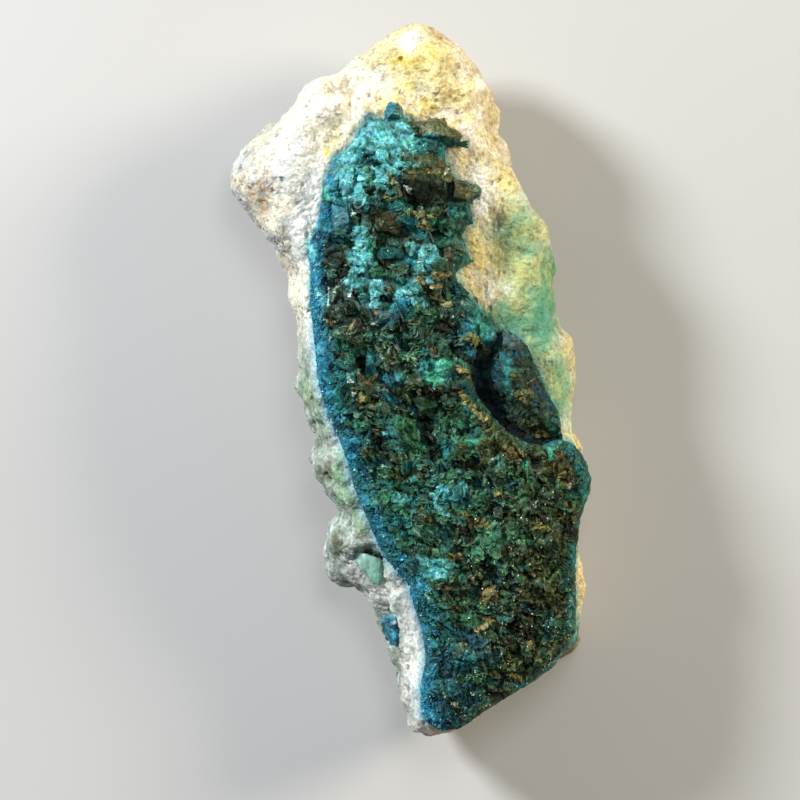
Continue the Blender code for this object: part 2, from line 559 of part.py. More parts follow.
def without_voids(mesh):
    """The mesh without the small sealed voids that crystals grown over one another leave between them."""
    shape = bmesh.new()
    shape.from_mesh(mesh)
    for island in islands_of(shape)[:-1]:
        bmesh.ops.delete(shape, geom=island, context="FACES")
    shape.to_mesh(mesh)
    shape.free()
    return mesh


def large_crystals(table):
    """The hulls of a table of large crystals, with their feet just above the crust's underside."""
    shapes = []
    for foot, summits in table.values():
        corners = np.array([(x, y, CLEARANCE + SINK) for x, y in foot] + summits)
        corners[:, 2] += bed_height(corners[:, :2])
        shapes.append(hull(corners))
    return shapes


def scattered_crystals(top, rng):
    """Smaller crystals all over the crust, coarser towards the wide end, standing at all angles."""
    shapes = []
    while len(shapes) < SCATTERED_CRYSTALS:
        spot = np.array([[rng.uniform(-9, 15.5), rng.uniform(-31, 23)]])
        if not inside(CRUST_OUTLINE, spot)[0] or distance_to(CRUST_OUTLINE, spot)[0] < 0.9:
            continue
        coarse = min(max((spot[0, 1] + 10) / 25, 0), 1)
        length = rng.uniform(1.4, 2.1) + 1.0 * coarse
        turn = Euler((rng.uniform(-0.6, 0.6), rng.uniform(-0.6, 0.6), rng.uniform(0, math.tau)))
        place = Vector((*spot[0], top(spot)[0] - 0.1))
        matrix = Matrix.Translation(place) @ turn.to_matrix().to_4x4()
        shapes.append(crystal(length, 0.6 * length, 0.42 * length, matrix))
    return shapes


# ---------------------------------------------------------------- the pieces


def relief_strength(co):
    """None under the crystals, some on the front and along the widest edge, and all of it elsewhere."""
    plan = co[:, :2]
    covered = inside(CRUST_OUTLINE, plan) | inside(RIGHT_GROUP_OUTLINE, plan)
    clear = np.minimum(distance_to(CRUST_OUTLINE, plan), distance_to(RIGHT_GROUP_OUTLINE, plan))
    on_front = np.where(covered, 0.0, np.clip((clear - 0.4) / 5.0, 0, 0.55))
    depth = np.clip((rock_top(plan) - co[:, 2] - 0.8) / 2.5, 0, 1)
    below_the_edge = edge_height(plan) - 1.2 - co[:, 2]
    off_the_edge = np.clip(np.maximum(distance_to(WIDEST_EDGE, plan), below_the_edge) / 3.0, 0.2, 1)
    return (on_front * (1 - depth) + depth) * np.where(on_front > 0.3, 1, off_the_edge)


def host_rock(parts, cutters):
    """The broken piece of rock, with its resting places and its two hollows."""
    height = 14.0
    mesh = remeshed(slab(WIDEST_EDGE, height), ROCK_VOXEL)
    mesh = remeshed(draped(mesh, height, rock_bottom, rock_top), ROCK_VOXEL)
    co = coordinates(mesh)
    strength = relief_strength(co)
    for index, vertex in enumerate(mesh.vertices):
        if strength[index] > 0:
            co[index] += strength[index] * broken_relief(vertex.co) * np.array(vertex.normal)
    set_coordinates(mesh, co)
    mesh = decimated(remeshed(mesh, ROCK_VOXEL), ROCK_TRIANGLES)
    under = slab([(-30, -45), (30, -45), (30, 45), (-30, 45)], 10)
    under.transform(Matrix.Translation((0, 0, -10)))
    mesh = cut(mesh, "below_the_resting_face", under, cutters)
    hollows = joined([hollow(NODULE_CENTRE, NODULE_HALF), hollow(SIDE_CLUSTER_CENTRE, SIDE_CLUSTER_HALF)])
    mesh = cut(mesh, "hollows", hollows, cutters)
    return stored("host_rock", mesh, (0.72, 0.68, 0.52), 0.85, parts)


def veszelyite_crust(parts):
    """The crust with the crystals that grew together with it."""
    height = 6.0

    def top(points):
        return crust_top(CRUST_OUTLINE, CRUST_THICKNESS, points)

    mesh = remeshed(slab(CRUST_OUTLINE, height), CRUST_VOXEL)
    mesh = decimated(draped(mesh, height, crust_underside, top), CRUST_BASE_TRIANGLES)
    crystals = joined(large_crystals(LARGE_CRYSTALS) + scattered_crystals(top, random.Random(11)))
    mesh = decimated(without_voids(united(mesh, crystals)), CRUST_TRIANGLES)
    return stored("veszelyite_crust", mesh, (0.01, 0.09, 0.10), 0.25, parts)


def right_group(parts):
    """The large crystals on the right, on a thin crust of their own."""
    height = 6.0

    def top(points):
        return crust_top(RIGHT_GROUP_OUTLINE, 1.2, points)

    mesh = remeshed(slab(RIGHT_GROUP_OUTLINE, height), CRUST_VOXEL)
    mesh = decimated(draped(mesh, height, crust_underside, top), GROUP_BASE_TRIANGLES)
    mesh = united(mesh, joined(large_crystals(RIGHT_GROUP_CRYSTALS)))
    return stored("veszelyite_right_group", mesh, (0.01, 0.07, 0.12), 0.25, parts)


def side_cluster(parts):
    """A few blue crystals grown together around one core, inside an ellipsoid's bounds."""
    rng = random.Random(5)
    core = ellipsoid(SIDE_CLUSTER_CENTRE, [0.6 * half for half in SIDE_CLUSTER_HALF], 8, 5)
    shapes = []
    for index in range(SIDE_CLUSTER_CRYSTALS):
        around = index * math.tau / SIDE_CLUSTER_CRYSTALS
        aim = Vector((math.cos(around), math.sin(around), rng.uniform(-0.2, 0.9)))
        turn = aim.to_track_quat("Z", "Y").to_matrix().to_4x4()
        place = Vector(SIDE_CLUSTER_CENTRE) + 0.42 * aim * Vector(SIDE_CLUSTER_HALF)
        shapes.append(crystal(0.9, 0.6, 0.5, Matrix.Translation(place) @ turn))
    mesh = united(joined([core]), joined(shapes))
    return stored("veszelyite_side_cluster", mesh, (0.02, 0.22, 0.42), 0.25, parts)


def green_nodule(parts):
    """A smooth rounded nodule, narrower at its lower end."""
    shape = ellipsoid(NODULE_CENTRE, NODULE_HALF, 12, 8)
    for vertex in shape.verts:
        lower = max(0.0, (NODULE_CENTRE[1] - vertex.co.y) / NODULE_HALF[1])
        vertex.co.x += 0.35 * lower * (NODULE_CENTRE[0] + 0.2 - vertex.co.x)
    return stored("green_nodule", joined([shape]), (0.35, 0.62, 0.50), 0.35, parts)


def main():
    for old in list(bpy.data.objects):
        bpy.data.objects.remove(old)
    parts = bpy.data.collections.new("veszelyite_specimen")
    cutters = bpy.data.collections.new("cutters")
    bpy.context.scene.collection.children.link(parts)
    bpy.context.scene.collection.children.link(cutters)
    host_rock(parts, cutters)
    veszelyite_crust(parts)
    right_group(parts)
    side_cluster(parts)
    green_nodule(parts)


main()
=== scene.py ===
import math
import random

import bmesh
import bpy
import numpy as np
from mathutils import Matrix, Vector, noise


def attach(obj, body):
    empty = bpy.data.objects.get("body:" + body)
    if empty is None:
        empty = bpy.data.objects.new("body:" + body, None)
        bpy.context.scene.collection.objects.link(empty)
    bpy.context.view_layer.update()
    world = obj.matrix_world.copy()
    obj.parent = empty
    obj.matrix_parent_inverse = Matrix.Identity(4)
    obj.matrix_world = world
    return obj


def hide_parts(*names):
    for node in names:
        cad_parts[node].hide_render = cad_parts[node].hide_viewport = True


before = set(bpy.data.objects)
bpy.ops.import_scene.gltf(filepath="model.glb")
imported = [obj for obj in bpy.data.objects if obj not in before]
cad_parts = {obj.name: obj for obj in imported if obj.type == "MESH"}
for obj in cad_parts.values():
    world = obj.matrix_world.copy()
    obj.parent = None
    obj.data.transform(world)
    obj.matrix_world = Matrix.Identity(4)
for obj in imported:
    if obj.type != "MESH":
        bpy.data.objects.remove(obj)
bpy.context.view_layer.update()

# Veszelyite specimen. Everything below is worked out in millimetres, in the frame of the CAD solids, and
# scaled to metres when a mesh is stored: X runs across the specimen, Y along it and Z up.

MM = 0.001  # one millimetre in metres
NOISE_SEED = 5
noise.seed_set(NOISE_SEED)  # otherwise noise_vector starts from the clock


def rgb(code):
    """A colour code such as "1f6fae" as linear values."""
    values = np.array([int(code[i:i + 2], 16) for i in (0, 2, 4)]) / 255
    return np.where(values <= 0.04045, values / 12.92, ((values + 0.055) / 1.055) ** 2.4)


# ---------------------------------------------------------------- outlines and heights, as in the solids

BED_Z, BED_TILT, BED_CROWN, BED_TURN, BED_TURN_X = 12.4, -0.11, 0.0012, 0.028, 9.0

CRUST_OUTLINE = [
    (-3.9, 23.8), (-2.5, 23.4), (-0.8, 23.6), (0.4, 23.3), (2.4, 22.6), (3.0, 21.0), (3.0, 19.7),
    (3.8, 18.4), (5.0, 17.2), (5.2, 15.9), (5.3, 14.3), (4.4, 13.2), (4.9, 11.9), (4.8, 10.6),
    (3.8, 9.8), (4.4, 8.5), (5.5, 7.3), (6.3, 6.2), (6.1, 5.0), (6.4, 3.7), (5.8, 2.6), (5.3, 0.6),
    (6.0, -1.4), (7.2, -3.0), (8.4, -4.5), (10.0, -5.5), (11.6, -5.9), (13.2, -5.3), (14.4, -5.6),
    (15.4, -6.4), (16.0, -7.6), (16.3, -8.8), (16.2, -10.0), (15.8, -11.2), (15.3, -12.2), (15.0, -14.5),
    (14.8, -17.5), (14.9, -20.0), (14.9, -22.6), (14.3, -23.9), (12.6, -25.5), (11.1, -27.1),
    (9.2, -28.2), (7.5, -29.1), (5.6, -30.6), (4.3, -31.4), (2.8, -31.4), (1.8, -31.0),
    (1.0, -30.3), (0.9, -27.5), (1.4, -25.0), (1.1, -22.4), (0.3, -20.2), (-0.1, -18.3),
    (-1.3, -16.9), (-2.4, -15.8), (-3.2, -14.0), (-4.0, -12.0), (-5.1, -9.4), (-5.6, -7.3),
    (-6.3, -5.3), (-7.3, -3.5), (-8.2, -0.3), (-8.5, 2.5), (-9.0, 7.0), (-8.9, 9.8),
    (-9.3, 12.0), (-8.6, 13.3), (-8.1, 15.0), (-7.9, 17.2), (-7.0, 19.8), (-5.3, 21.1),
    (-4.4, 22.8),
]
LEFT_EDGE = CRUST_OUTLINE[47:]  # the crust's left edge, from the narrow end up
RIM = CRUST_OUTLINE[25:47]  # its right and lower edge, from the lobe round to the narrow end

GROUP_OUTLINE = [
    (7.7, 4.0), (8.4, 4.5), (9.4, 4.1), (10.3, 3.1), (11.0, 1.7), (11.7, 0.3), (12.1, -1.0),
    (12.8, -2.2), (13.2, -3.5), (13.2, -4.6), (11.2, -4.9), (9.4, -3.7), (8.2, -2.4), (7.4, -0.8),
    (7.0, 1.0), (7.3, 2.8),
]


def distance_to(line, points, closed=True):
    """Each point's distance from an outline or an open line, in plan."""
    start = np.array(line, float)
    step = np.roll(start, -1, axis=0) - start
    if not closed:
        start, step = start[:-1], step[:-1]
    nearest = np.full(len(points), 1e9)
    for (x, y), (dx, dy) in zip(start, step):
        ox, oy = points[:, 0] - x, points[:, 1] - y
        share = np.clip((ox * dx + oy * dy) / (dx * dx + dy * dy), 0, 1)
        nearest = np.minimum(nearest, np.hypot(ox - share * dx, oy - share * dy))
    return nearest


def inside(outline, points):
    """Whether each point lies inside a closed outline, in plan."""
    result = np.zeros(len(points), bool)
    for (x1, y1), (x2, y2) in zip(outline, outline[1:] + outline[:1]):
        if y1 != y2:
            spans = (y1 > points[:, 1]) != (y2 > points[:, 1])
            result ^= spans & (points[:, 0] < x1 + (points[:, 1] - y1) / (y2 - y1) * (x2 - x1))
    return result


def bed_height(points):
    """The height of the bed under the crust, at each point's place in plan."""
    x, y = points[:, 0], points[:, 1]
    turn = BED_TURN * np.clip(x - BED_TURN_X, 0, None) ** 2
    return BED_Z + BED_TILT * x - BED_CROWN * y**2 - turn + 0.25 * np.sin(0.45 * x + 0.21 * y)


def ramp(values, low, high):
    """0 below low, 1 above high, and smooth between."""
    share = np.clip((values - low) / (high - low), 0, 1)
    return share * share * (3 - 2 * share)


def patch(table, points):
    """How strongly each point lies in a table's soft patches: x, y, half sizes, strength."""
    total = np.zeros(len(points))
    for x, y, rx, ry, strength in table:
        away = ((points[:, 0] - x) / rx) ** 2 + ((points[:, 1] - y) / ry) ** 2
        total = np.maximum(total, strength * np.exp(-0.9 * away**1.5))
    return total


def grain(points, size, octaves=3, seed=0.0):
    """Fractal noise at each point, about -1 to 1; each use has a seed of its own, so that no two match."""
    shift = Vector((seed * 17.3, seed * 5.1, seed * 9.7))
    return np.array([noise.fractal(Vector(p) / size + shift, 0.9, 2.1, octaves) for p in points])


# ---------------------------------------------------------------- meshes


def coordinates(mesh):
    """The mesh's points as an array, a row each."""
    co = np.empty(len(mesh.vertices) * 3, np.float32)
    mesh.vertices.foreach_get("co", co)
    return co.reshape(-1, 3).astype(float)


def normals(mesh):
    """The normals at the mesh's points, a row each."""
    values = np.empty(len(mesh.vertices) * 3, np.float32)
    mesh.vertices.foreach_get("normal", values)
    return values.reshape(-1, 3).astype(float)


def set_coordinates(mesh, co):
    """Moves the mesh's points to an array's rows."""
    mesh.vertices.foreach_set("co", np.asarray(co, np.float32).ravel())
    mesh.update()


def linked(name, data):
    """A new object of the scene."""
    item = bpy.data.objects.new(name, data)
    bpy.context.scene.collection.objects.link(item)
    return item


def evaluated(work):
    """The mesh that an object's modifiers make; the object itself goes."""
    made = bpy.data.meshes.new_from_object(work.evaluated_get(bpy.context.evaluated_depsgraph_get()))
    bpy.data.objects.remove(work)
    return made


def mesh_from(shape, name):
    """A mesh from a bmesh, which is freed."""
    mesh = bpy.data.meshes.new(name)
    shape.to_mesh(mesh)
    shape.free()
    return mesh


def remeshed(mesh, voxel):
    """The mesh made anew out of even squares."""
    work = linked("work", mesh)
    modifier = work.modifiers.new("even", "REMESH")
    modifier.mode, modifier.voxel_size = "VOXEL", voxel
    return evaluated(work)


def smoothed(mesh, steps):
    """The mesh smoothed in so many steps."""
    work = linked("work", mesh)
    modifier = work.modifiers.new("smooth", "SMOOTH")
    modifier.factor, modifier.iterations = 0.5, steps
    return evaluated(work)


def hidden_simplified(mesh, hidden, share):
    """The mesh with its hidden points merged away, down to a share of its triangles."""
    work = linked("work", mesh)
    group = work.vertex_groups.new(name="hidden")
    group.add([int(index) for index in np.flatnonzero(hidden)], 1.0, "REPLACE")
    modifier = work.modifiers.new("simpler", "DECIMATE")
    modifier.ratio, modifier.vertex_group, modifier.vertex_group_factor = share, "hidden", 1.0
    return evaluated(work)


WELD = 2e-4  # corners of a CAD solid this close are one


def solid_of(node):
    """A copy of a CAD solid, in millimetres, with its corners merged."""
    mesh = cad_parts[node].data.copy()
    mesh.materials.clear()
    shape = bmesh.new()
    shape.from_mesh(mesh)
    bmesh.ops.scale(shape, vec=(1 / MM, 1 / MM, 1 / MM), verts=shape.verts)
    bmesh.ops.remove_doubles(shape, verts=shape.verts, dist=WELD)
    bmesh.ops.triangulate(shape, faces=shape.faces)
    shape.to_mesh(mesh)
    shape.free()
    return mesh


def solid_with_triangles(node):
    """A copy of a CAD solid whose triangles can be sampled."""
    mesh = solid_of(node)
    mesh.calc_loop_triangles()
    return mesh


def mesh_of(points, faces):
    """A mesh from arrays of points and of equal-sided faces."""
    mesh = bpy.data.meshes.new("made")
    mesh.vertices.add(len(points))
    mesh.vertices.foreach_set("co", np.asarray(points, np.float32).ravel())
    mesh.loops.add(faces.size)
    mesh.loops.foreach_set("vertex_index", faces.astype(np.int32).ravel())
    mesh.polygons.add(len(faces))
    mesh.polygons.foreach_set("loop_start", np.arange(0, faces.size, faces.shape[1], dtype=np.int32))
    mesh.update(calc_edges=True)
    return mesh


def tint(mesh, colours, gloss=1.0):
    """Stores a colour for each point of a mesh, and its gloss as alpha."""
    layer = mesh.color_attributes.new("Tint", "FLOAT_COLOR", "POINT")
    values = np.empty((len(mesh.vertices), 4), np.float32)
    values[:, :3] = np.clip(colours, 0, 1)
    values[:, 3] = gloss
    layer.data.foreach_set("color", values.ravel())


def placed(name, mesh, material, replaces, smooth=False):
    """Stores a mesh, in metres, as a piece of the scene."""
    mesh.transform(Matrix.Scale(MM, 4))
    mesh.materials.clear()
    mesh.materials.append(material)
    mesh.polygons.foreach_set("use_smooth", np.full(len(mesh.polygons), smooth))
    mesh.update()
    piece = linked(name, mesh)
    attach(piece, "root")
    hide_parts(replaces)


# ---------------------------------------------------------------- materials


class Nodes:
    """A short way to write a material's nodes."""

    def __init__(self, name):
        self.material = bpy.data.materials.new(name)
        self.material.use_nodes = True
        self.tree = self.material.node_tree
        self.shader = self.tree.nodes["Principled BSDF"]

    def add(self, kind, inputs=(), **settings):
        """A new node with its settings, and with its inputs set or linked."""
        node = self.tree.nodes.new("ShaderNode" + kind)
        for key, value in settings.items():
            setattr(node, key, value)
        for key, value in dict(inputs).items():
            self.put(node.inputs[key], value)
        return node

    def put(self, socket, value):
        """Links a socket to an output, or sets its value."""
        if isinstance(value, bpy.types.NodeSocket):
            self.tree.links.new(value, socket)
        else:
            socket.default_value = value

    def noise(self, scale, detail=3.0, roughness=0.55, stretch=(1, 1, 1)):
        """Noise in the object's own space."""
        where = self.add("TexCoord").outputs["Object"]
        mapped = self.add("Mapping", {"Vector": where, "Scale": stretch})
        inputs = {"Vector": mapped.outputs[0], "Scale": scale, "Detail": detail, "Roughness": roughness}
        return self.add("TexNoise", inputs).outputs["Fac"]

    def steps(self, value, *stops):
        """A colour ramp through (position, grey or colour) stops."""
        node = self.add("ValToRGB", {"Fac": value})
        elements = node.color_ramp.elements
        while len(elements) < len(stops):
            elements.new(0.5)
        for element, (position, colour) in zip(elements, stops):
            element.position = position
            element.color = (*colour, 1) if isinstance(colour, tuple) else (colour, colour, colour, 1)
        return node.outputs["Color"]

    def mix(self, factor, a, b, blend="MIX"):
        """Two colours blended."""
        node = self.add("Mix", data_type="RGBA", blend_type=blend)
        self.put(node.inputs[0], factor)
        self.put(node.inputs[6], a)
        self.put(node.inputs[7], b)
        return node.outputs[2]

    def tint(self):
        """The colour stored with the points, and its alpha."""
        return self.add("VertexColor", layer_name="Tint").outputs

    def shade(self, values):
        """Sets or links the shader's inputs, and gives the finished material."""
        for key, value in values.items():
            self.put(self.shader.inputs[key], value)
        return self.material

    def bump(self, height, distance, strength=1.0, normal=None):
        """A normal bent by a height, on top of another one if it is given."""
        inputs = {"Height": height, "Distance": distance, "Strength": strength}
        if normal:
            inputs["Normal"] = normal
        return self.add("Bump", inputs).outputs["Normal"]


def rock_material():
    """Chalky broken rock: its tint, mottled and speckled, with a fine grain."""
    n = Nodes("pale_rock")
    mottle = n.steps(n.noise(900, 5, 0.65), (0.3, 0.60), (0.52, 0.95), (0.75, 1.15))
    fine = n.steps(n.noise(3600, 4, 0.7), (0.34, 0.52), (0.5, 0.96), (0.7, 1.12))
    speck = n.steps(n.noise(2600, 2, 0.5), (0.68, 0.0), (0.75, 1.0))
    colour = n.mix(1.0, n.tint()["Color"], mottle, "MULTIPLY")
    colour = n.mix(0.8, colour, fine, "MULTIPLY")
    colour = n.mix(n.mix(1.0, speck, (0.35, 0.35, 0.35, 1), "MULTIPLY"), colour, (0.16, 0.13, 0.07, 1))
    coarse = n.bump(n.noise(3600, 5, 0.7), 0.17 * MM, 0.65)
    return n.shade({
        "Base Color": colour,
        "Roughness": n.steps(n.noise(1500, 3), (0.35, 0.42), (0.7, 0.85)),
        "Specular IOR Level": 0.45,
        "Subsurface Weight": 0.07,
        "Subsurface Radius": (1.0, 0.9, 0.6),
        "Subsurface Scale": 0.7 * MM,
        "Normal": n.bump(n.noise(9000, 3, 0.6), 0.04 * MM, 0.5, coarse),
    })


def crystal_material(name, glossy, matte, specular):
    """Crystal in the tint of each point, clouded and speckled.

    The tint's alpha turns it from matte to glossy.
    """
    n = Nodes(name)
    tint = n.tint()
    cloud = n.steps(n.noise(2600, 4, 0.65), (0.32, 0.55), (0.5, 1.0), (0.7, 1.6))
    colour = n.mix(1.0, tint["Color"], cloud, "MULTIPLY")
    hue = n.steps(n.noise(1700, 3, 0.6), (0.4, (1.0, 1.03, 0.85)), (0.6, (0.9, 1.03, 1.06)))
    colour = n.mix(1.0, colour, hue, "MULTIPLY")
    speck = n.steps(n.noise(6200, 2, 0.5), (0.36, 0.7), (0.5, 1.0), (0.62, 1.15), (0.70, 1.8))
    cloudy = n.steps(n.noise(1900, 3), (0.35, 0.7), (0.7, 1.3))
    shine = n.add("Mix", {0: tint["Alpha"], 2: matte, 3: glossy}, data_type="FLOAT")
    rough = n.add("Math", {0: shine.outputs[0], 1: cloudy}, operation="MULTIPLY", use_clamp=True)
    lines = n.noise(3200, 3, 0.6, (1.0, 0.25, 1.0))
    return n.shade({
        "Base Color": n.mix(1.0, colour, speck, "MULTIPLY"),
        "Roughness": rough.outputs[0],
        "IOR": 1.66,
        "Specular IOR Level": specular,
        "Normal": n.bump(lines, 0.03 * MM, 0.35),
    })


def nodule_material():
    """Waxy mint-green mineral with soft bands."""
    n = Nodes("green_nodule")
    band = n.steps(n.noise(500, 3, 0.5, (1, 0.4, 1)), (0.3, 0.7), (0.7, 1.25))
    return n.shade({
        "Base Color": n.mix(1.0, n.tint()["Color"], band, "MULTIPLY"),
        "Roughness": n.steps(n.noise(1200, 3), (0.35, 0.25), (0.7, 0.5)),
        "Subsurface Weight": 0.35,
        "Subsurface Radius": (0.7, 1.0, 0.8),
        "Subsurface Scale": 0.8 * MM,
        "Normal": n.bump(n.noise(2500, 4, 0.6), 0.05 * MM, 0.4),
    })


def floor_material():
    """Plain pale grey."""
    n = Nodes("floor")
    return n.shade({"Base Color": n.steps(n.noise(9, 2), (0.3, 0.46), (0.7, 0.50)), "Roughness": 0.7})


# ---------------------------------------------------------------- the rock

# The left side of the rock below its widest part.
LEFT_SIDE = [
    (-8.0, 9.5), (-7.4, 2.5), (-7.0, -0.4), (-5.1, -5.3), (-3.9, -9.4), (-2.0, -14.0), (-0.1, -16.9),
    (1.1, -18.3), (2.3, -22.4), (2.6, -25.0), (2.2, -27.5), (2.2, -30.3), (0.6, -34.0), (-20.0, -34.0),
    (-20.0, 9.5),
]

# Soft patches on the rock: x, y, half sizes, strength.
OCHRE = [
    (3.2, 28.0, 1.4, 1.4, 0.5), (-2.6, 26.2, 1.4, 0.8, 0.4), (4.2, 25.4, 1.6, 1.2, 0.5),
    (-0.6, 28.6, 1.8, 1.0, 0.9), (1.6, 29.6, 1.6, 0.9, 0.7), (0.3, 26.6, 1.4, 0.7, 0.6),
    (2.0, 27.0, 2.2, 1.6, 0.45), (-7.3, 22.3, 0.9, 1.6, 0.9), (-8.0, 20.8, 0.9, 0.8, 0.9),
    (-6.2, 24.2, 0.8, 0.6, 0.5), (1.6, 25.0, 1.5, 0.7, 0.9), (5.6, 19.4, 1.0, 2.4, 0.25),
    (8.2, 17.6, 1.2, 2.0, 0.4), (5.9, 12.6, 0.8, 1.8, 0.8), (6.4, 9.4, 1.2, 1.6, 0.7),
    (7.2, 10.9, 1.6, 1.3, 0.5), (9.6, 9.6, 1.3, 1.3, 0.25),
]
RUST = [
    (-13.6, 16.6, 0.9, 1.5, 0.9), (-13.2, 19.0, 1.0, 0.7, 0.6), (-13.9, 14.9, 0.6, 0.7, 0.5),
    (-10.2, 17.5, 0.35, 0.45, 0.9), (-5.6, 25.6, 0.5, 0.4, 0.6), (-15.8, 18.2, 0.4, 0.6, 0.5),
    (15.4, -18.2, 0.7, 3.0, 0.5), (3.4, -32.0, 1.2, 0.8, 0.5),
]
GREEN = [
    (9.8, 12.4, 2.4, 4.0, 0.8), (8.4, 14.6, 1.4, 1.2, 0.25), (11.2, 5.4, 2.0, 4.4, 1.0),
    (8.9, 5.8, 1.8, 1.8, 0.9), (13.2, -0.6, 1.5, 3.4, 0.9), (12.4, 9.0, 1.4, 3.4, 1.0),
    (10.6, 8.6, 2.0, 3.0, 0.8), (6.8, 5.0, 1.4, 1.1, 1.0), (7.0, 13.4, 1.4, 1.0, 0.6),
    (-7.9, -2.6, 0.9, 2.0, 0.35), (-5.9, -8.2, 1.0, 3.0, 0.6), (-4.4, -11.6, 0.9, 1.8, 0.7),
    (-4.1, -13.4, 0.5, 0.5, 1.0), (-9.4, -1.1, 0.7, 1.4, 0.5),
]
MINT = [
    (12.0, 5.6, 1.4, 2.6, 0.9), (6.6, 5.3, 1.0, 0.8, 1.0), (9.4, 4.9, 1.6, 1.0, 0.9),
    (8.3, 5.9, 0.8, 1.2, 0.6),
]
# White patches: partly the rock's own white, partly painted light on the bright ridge at the left and on
# slopes that would lie in shade.
WHITE_AND_LIGHT = [
    (-9.3, 16.0, 1.3, 5.5, 1.0), (-8.0, 24.0, 2.6, 2.2, 0.7), (-4.0, 27.0, 2.6, 1.4, 0.6),
    (-10.6, 20.6, 2.0, 2.4, 0.6), (0.1, -24.0, 0.9, 7.5, 0.9), (-9.2, 6.0, 0.7, 3.0, 0.5),
    (-1.6, -18.6, 0.8, 1.2, 0.6), (-3.0, -19.3, 1.2, 1.0, 0.8), (-5.2, -17.3, 1.0, 1.2, 0.7),
    (-2.3, -20.4, 0.8, 0.6, 0.6), (6.3, 17.0, 1.3, 3.6, 0.7), (6.2, 15.8, 0.6, 1.3, 0.9),
    (7.0, 8.3, 0.4, 1.5, 0.9), (5.4, 21.6, 0.9, 1.4, 0.5), (0.6, -31.9, 1.7, 1.1, 1.0),
]
# Olive patches: painted shade, dark olive in the hollows of the left side and in the gap over the nodule.
OLIVE_SHADE = [
    (-7.8, -8.3, 0.7, 1.1, 1.0), (-6.7, -14.6, 0.6, 0.9, 1.0), (-8.4, -5.6, 0.4, 0.6, 0.6),
    (-3.5, -14.9, 1.0, 0.4, 1.0), (-9.0, -1.6, 0.6, 0.9, 0.5), (-8.8, 8.0, 0.4, 2.0, 0.3),
]


# The floor of the cleft between the crust and the right group.
CLEFT = [(5.4, 4.6), (8.4, 4.4), (8.4, 0.6), (10.6, -3.0), (13.6, -4.4), (13.4, -6.4), (5.6, -3.4)]


def left_share(plan, width):
    """How far a point is inside the left side, which fades out upwards."""
    upper = ramp(6.5 - plan[:, 1] + 1.5 * np.sin(1.3 * plan[:, 0]), -1.0, 4.5)
    deep = ramp(distance_to(LEFT_SIDE, plan), 0.0, width)
    return np.where(inside(LEFT_SIDE, plan), 1.0, 0.0) * deep * upper


def under_crystals(plan):
    """Whether the crust or the right group covers each point, 0 or 1, and how near their edges it is."""
    covered = inside(CRUST_OUTLINE, plan) | inside(GROUP_OUTLINE, plan)
    near = np.minimum(distance_to(CRUST_OUTLINE, plan), distance_to(GROUP_OUTLINE, plan))
    return np.where(covered, 1.0, 0.0), near


LUMP_SIZE, PIT_SIZE = 2.0, 0.75  # how far apart the rock's round lumps and its pits are


def rock_relief(co):
    """Fine relief on the solid's forms: creases and pits of broken stone, and round lumps on the left.

    It also gives how far each point faces the front, 0 to 1.
    """
    plan = co[:, :2]
    front = ramp(co[:, 2] - bed_height(plan), -2.2, -0.6)
    left = left_share(plan, 1.0)
    band = patch([(0.1, -24.0, 1.2, 8.5, 1.0), (-3.0, -15.0, 1.2, 3.0, 0.6)], plan) * front
    calm = (1 - 0.3 * left) * (1 - 0.8 * band)
    waxy = patch(GREEN, plan) * ramp(plan[:, 0], 4.0, 6.5)
    bent = co + 0.35 * np.stack([grain(co, 0.9, 2, seed) for seed in (110.0, 111.0, 112.0)], 1)
    creased = np.minimum(np.abs(grain(bent, 1.5, 2, 1.0)), 0.45)
    cracked = np.minimum(np.abs(grain(bent, 0.62, 2, 113.0)), 0.35)
    fine = 0.11 * cracked + 0.05 * grain(co, 0.42, 2, 2.0)
    rise = (0.20 * grain(co, 2.2, 2, 4.0) + 0.26 * creased + fine * (1 - 0.6 * waxy + 0.8 * left)) * calm
    rise += 0.05 * grain(co * [1.0, 0.3, 1.0], 0.5, 2, 3.0) * np.maximum(left, band)
    for index, point in enumerate(co):
        place = Vector(point)
        outside = 1 - band[index]
        distances, _ = noise.voronoi(place / LUMP_SIZE)
        lump = max(0.0, 1 - (distances[0] / 0.62) ** 2)
        rise[index] += 0.36 * left[index] * outside * (lump - 0.35)
        distances, centres = noise.voronoi(place / PIT_SIZE)
        if noise.cell_vector(centres[0] * 31.0).x > 0.82:
            pit = max(0.0, 1 - (distances[0] / 0.40) ** 2)
            rise[index] -= 0.30 * pit * outside * (1 - 0.8 * waxy[index])
    covered, clear = under_crystals(plan)
    under = covered * front
    rise = rise * (1 - under * ramp(clear, 0.0, 0.5))
    lift = 0.28 * under * ramp(clear, 0.0, 0.35)
    return rise + lift, front


def sunken(mesh, steps):
    """How far each point lies below the mesh's own form, smoothed in so many steps."""
    return ((coordinates(smoothed(mesh, steps)) - coordinates(mesh)) * normals(mesh)).sum(1)


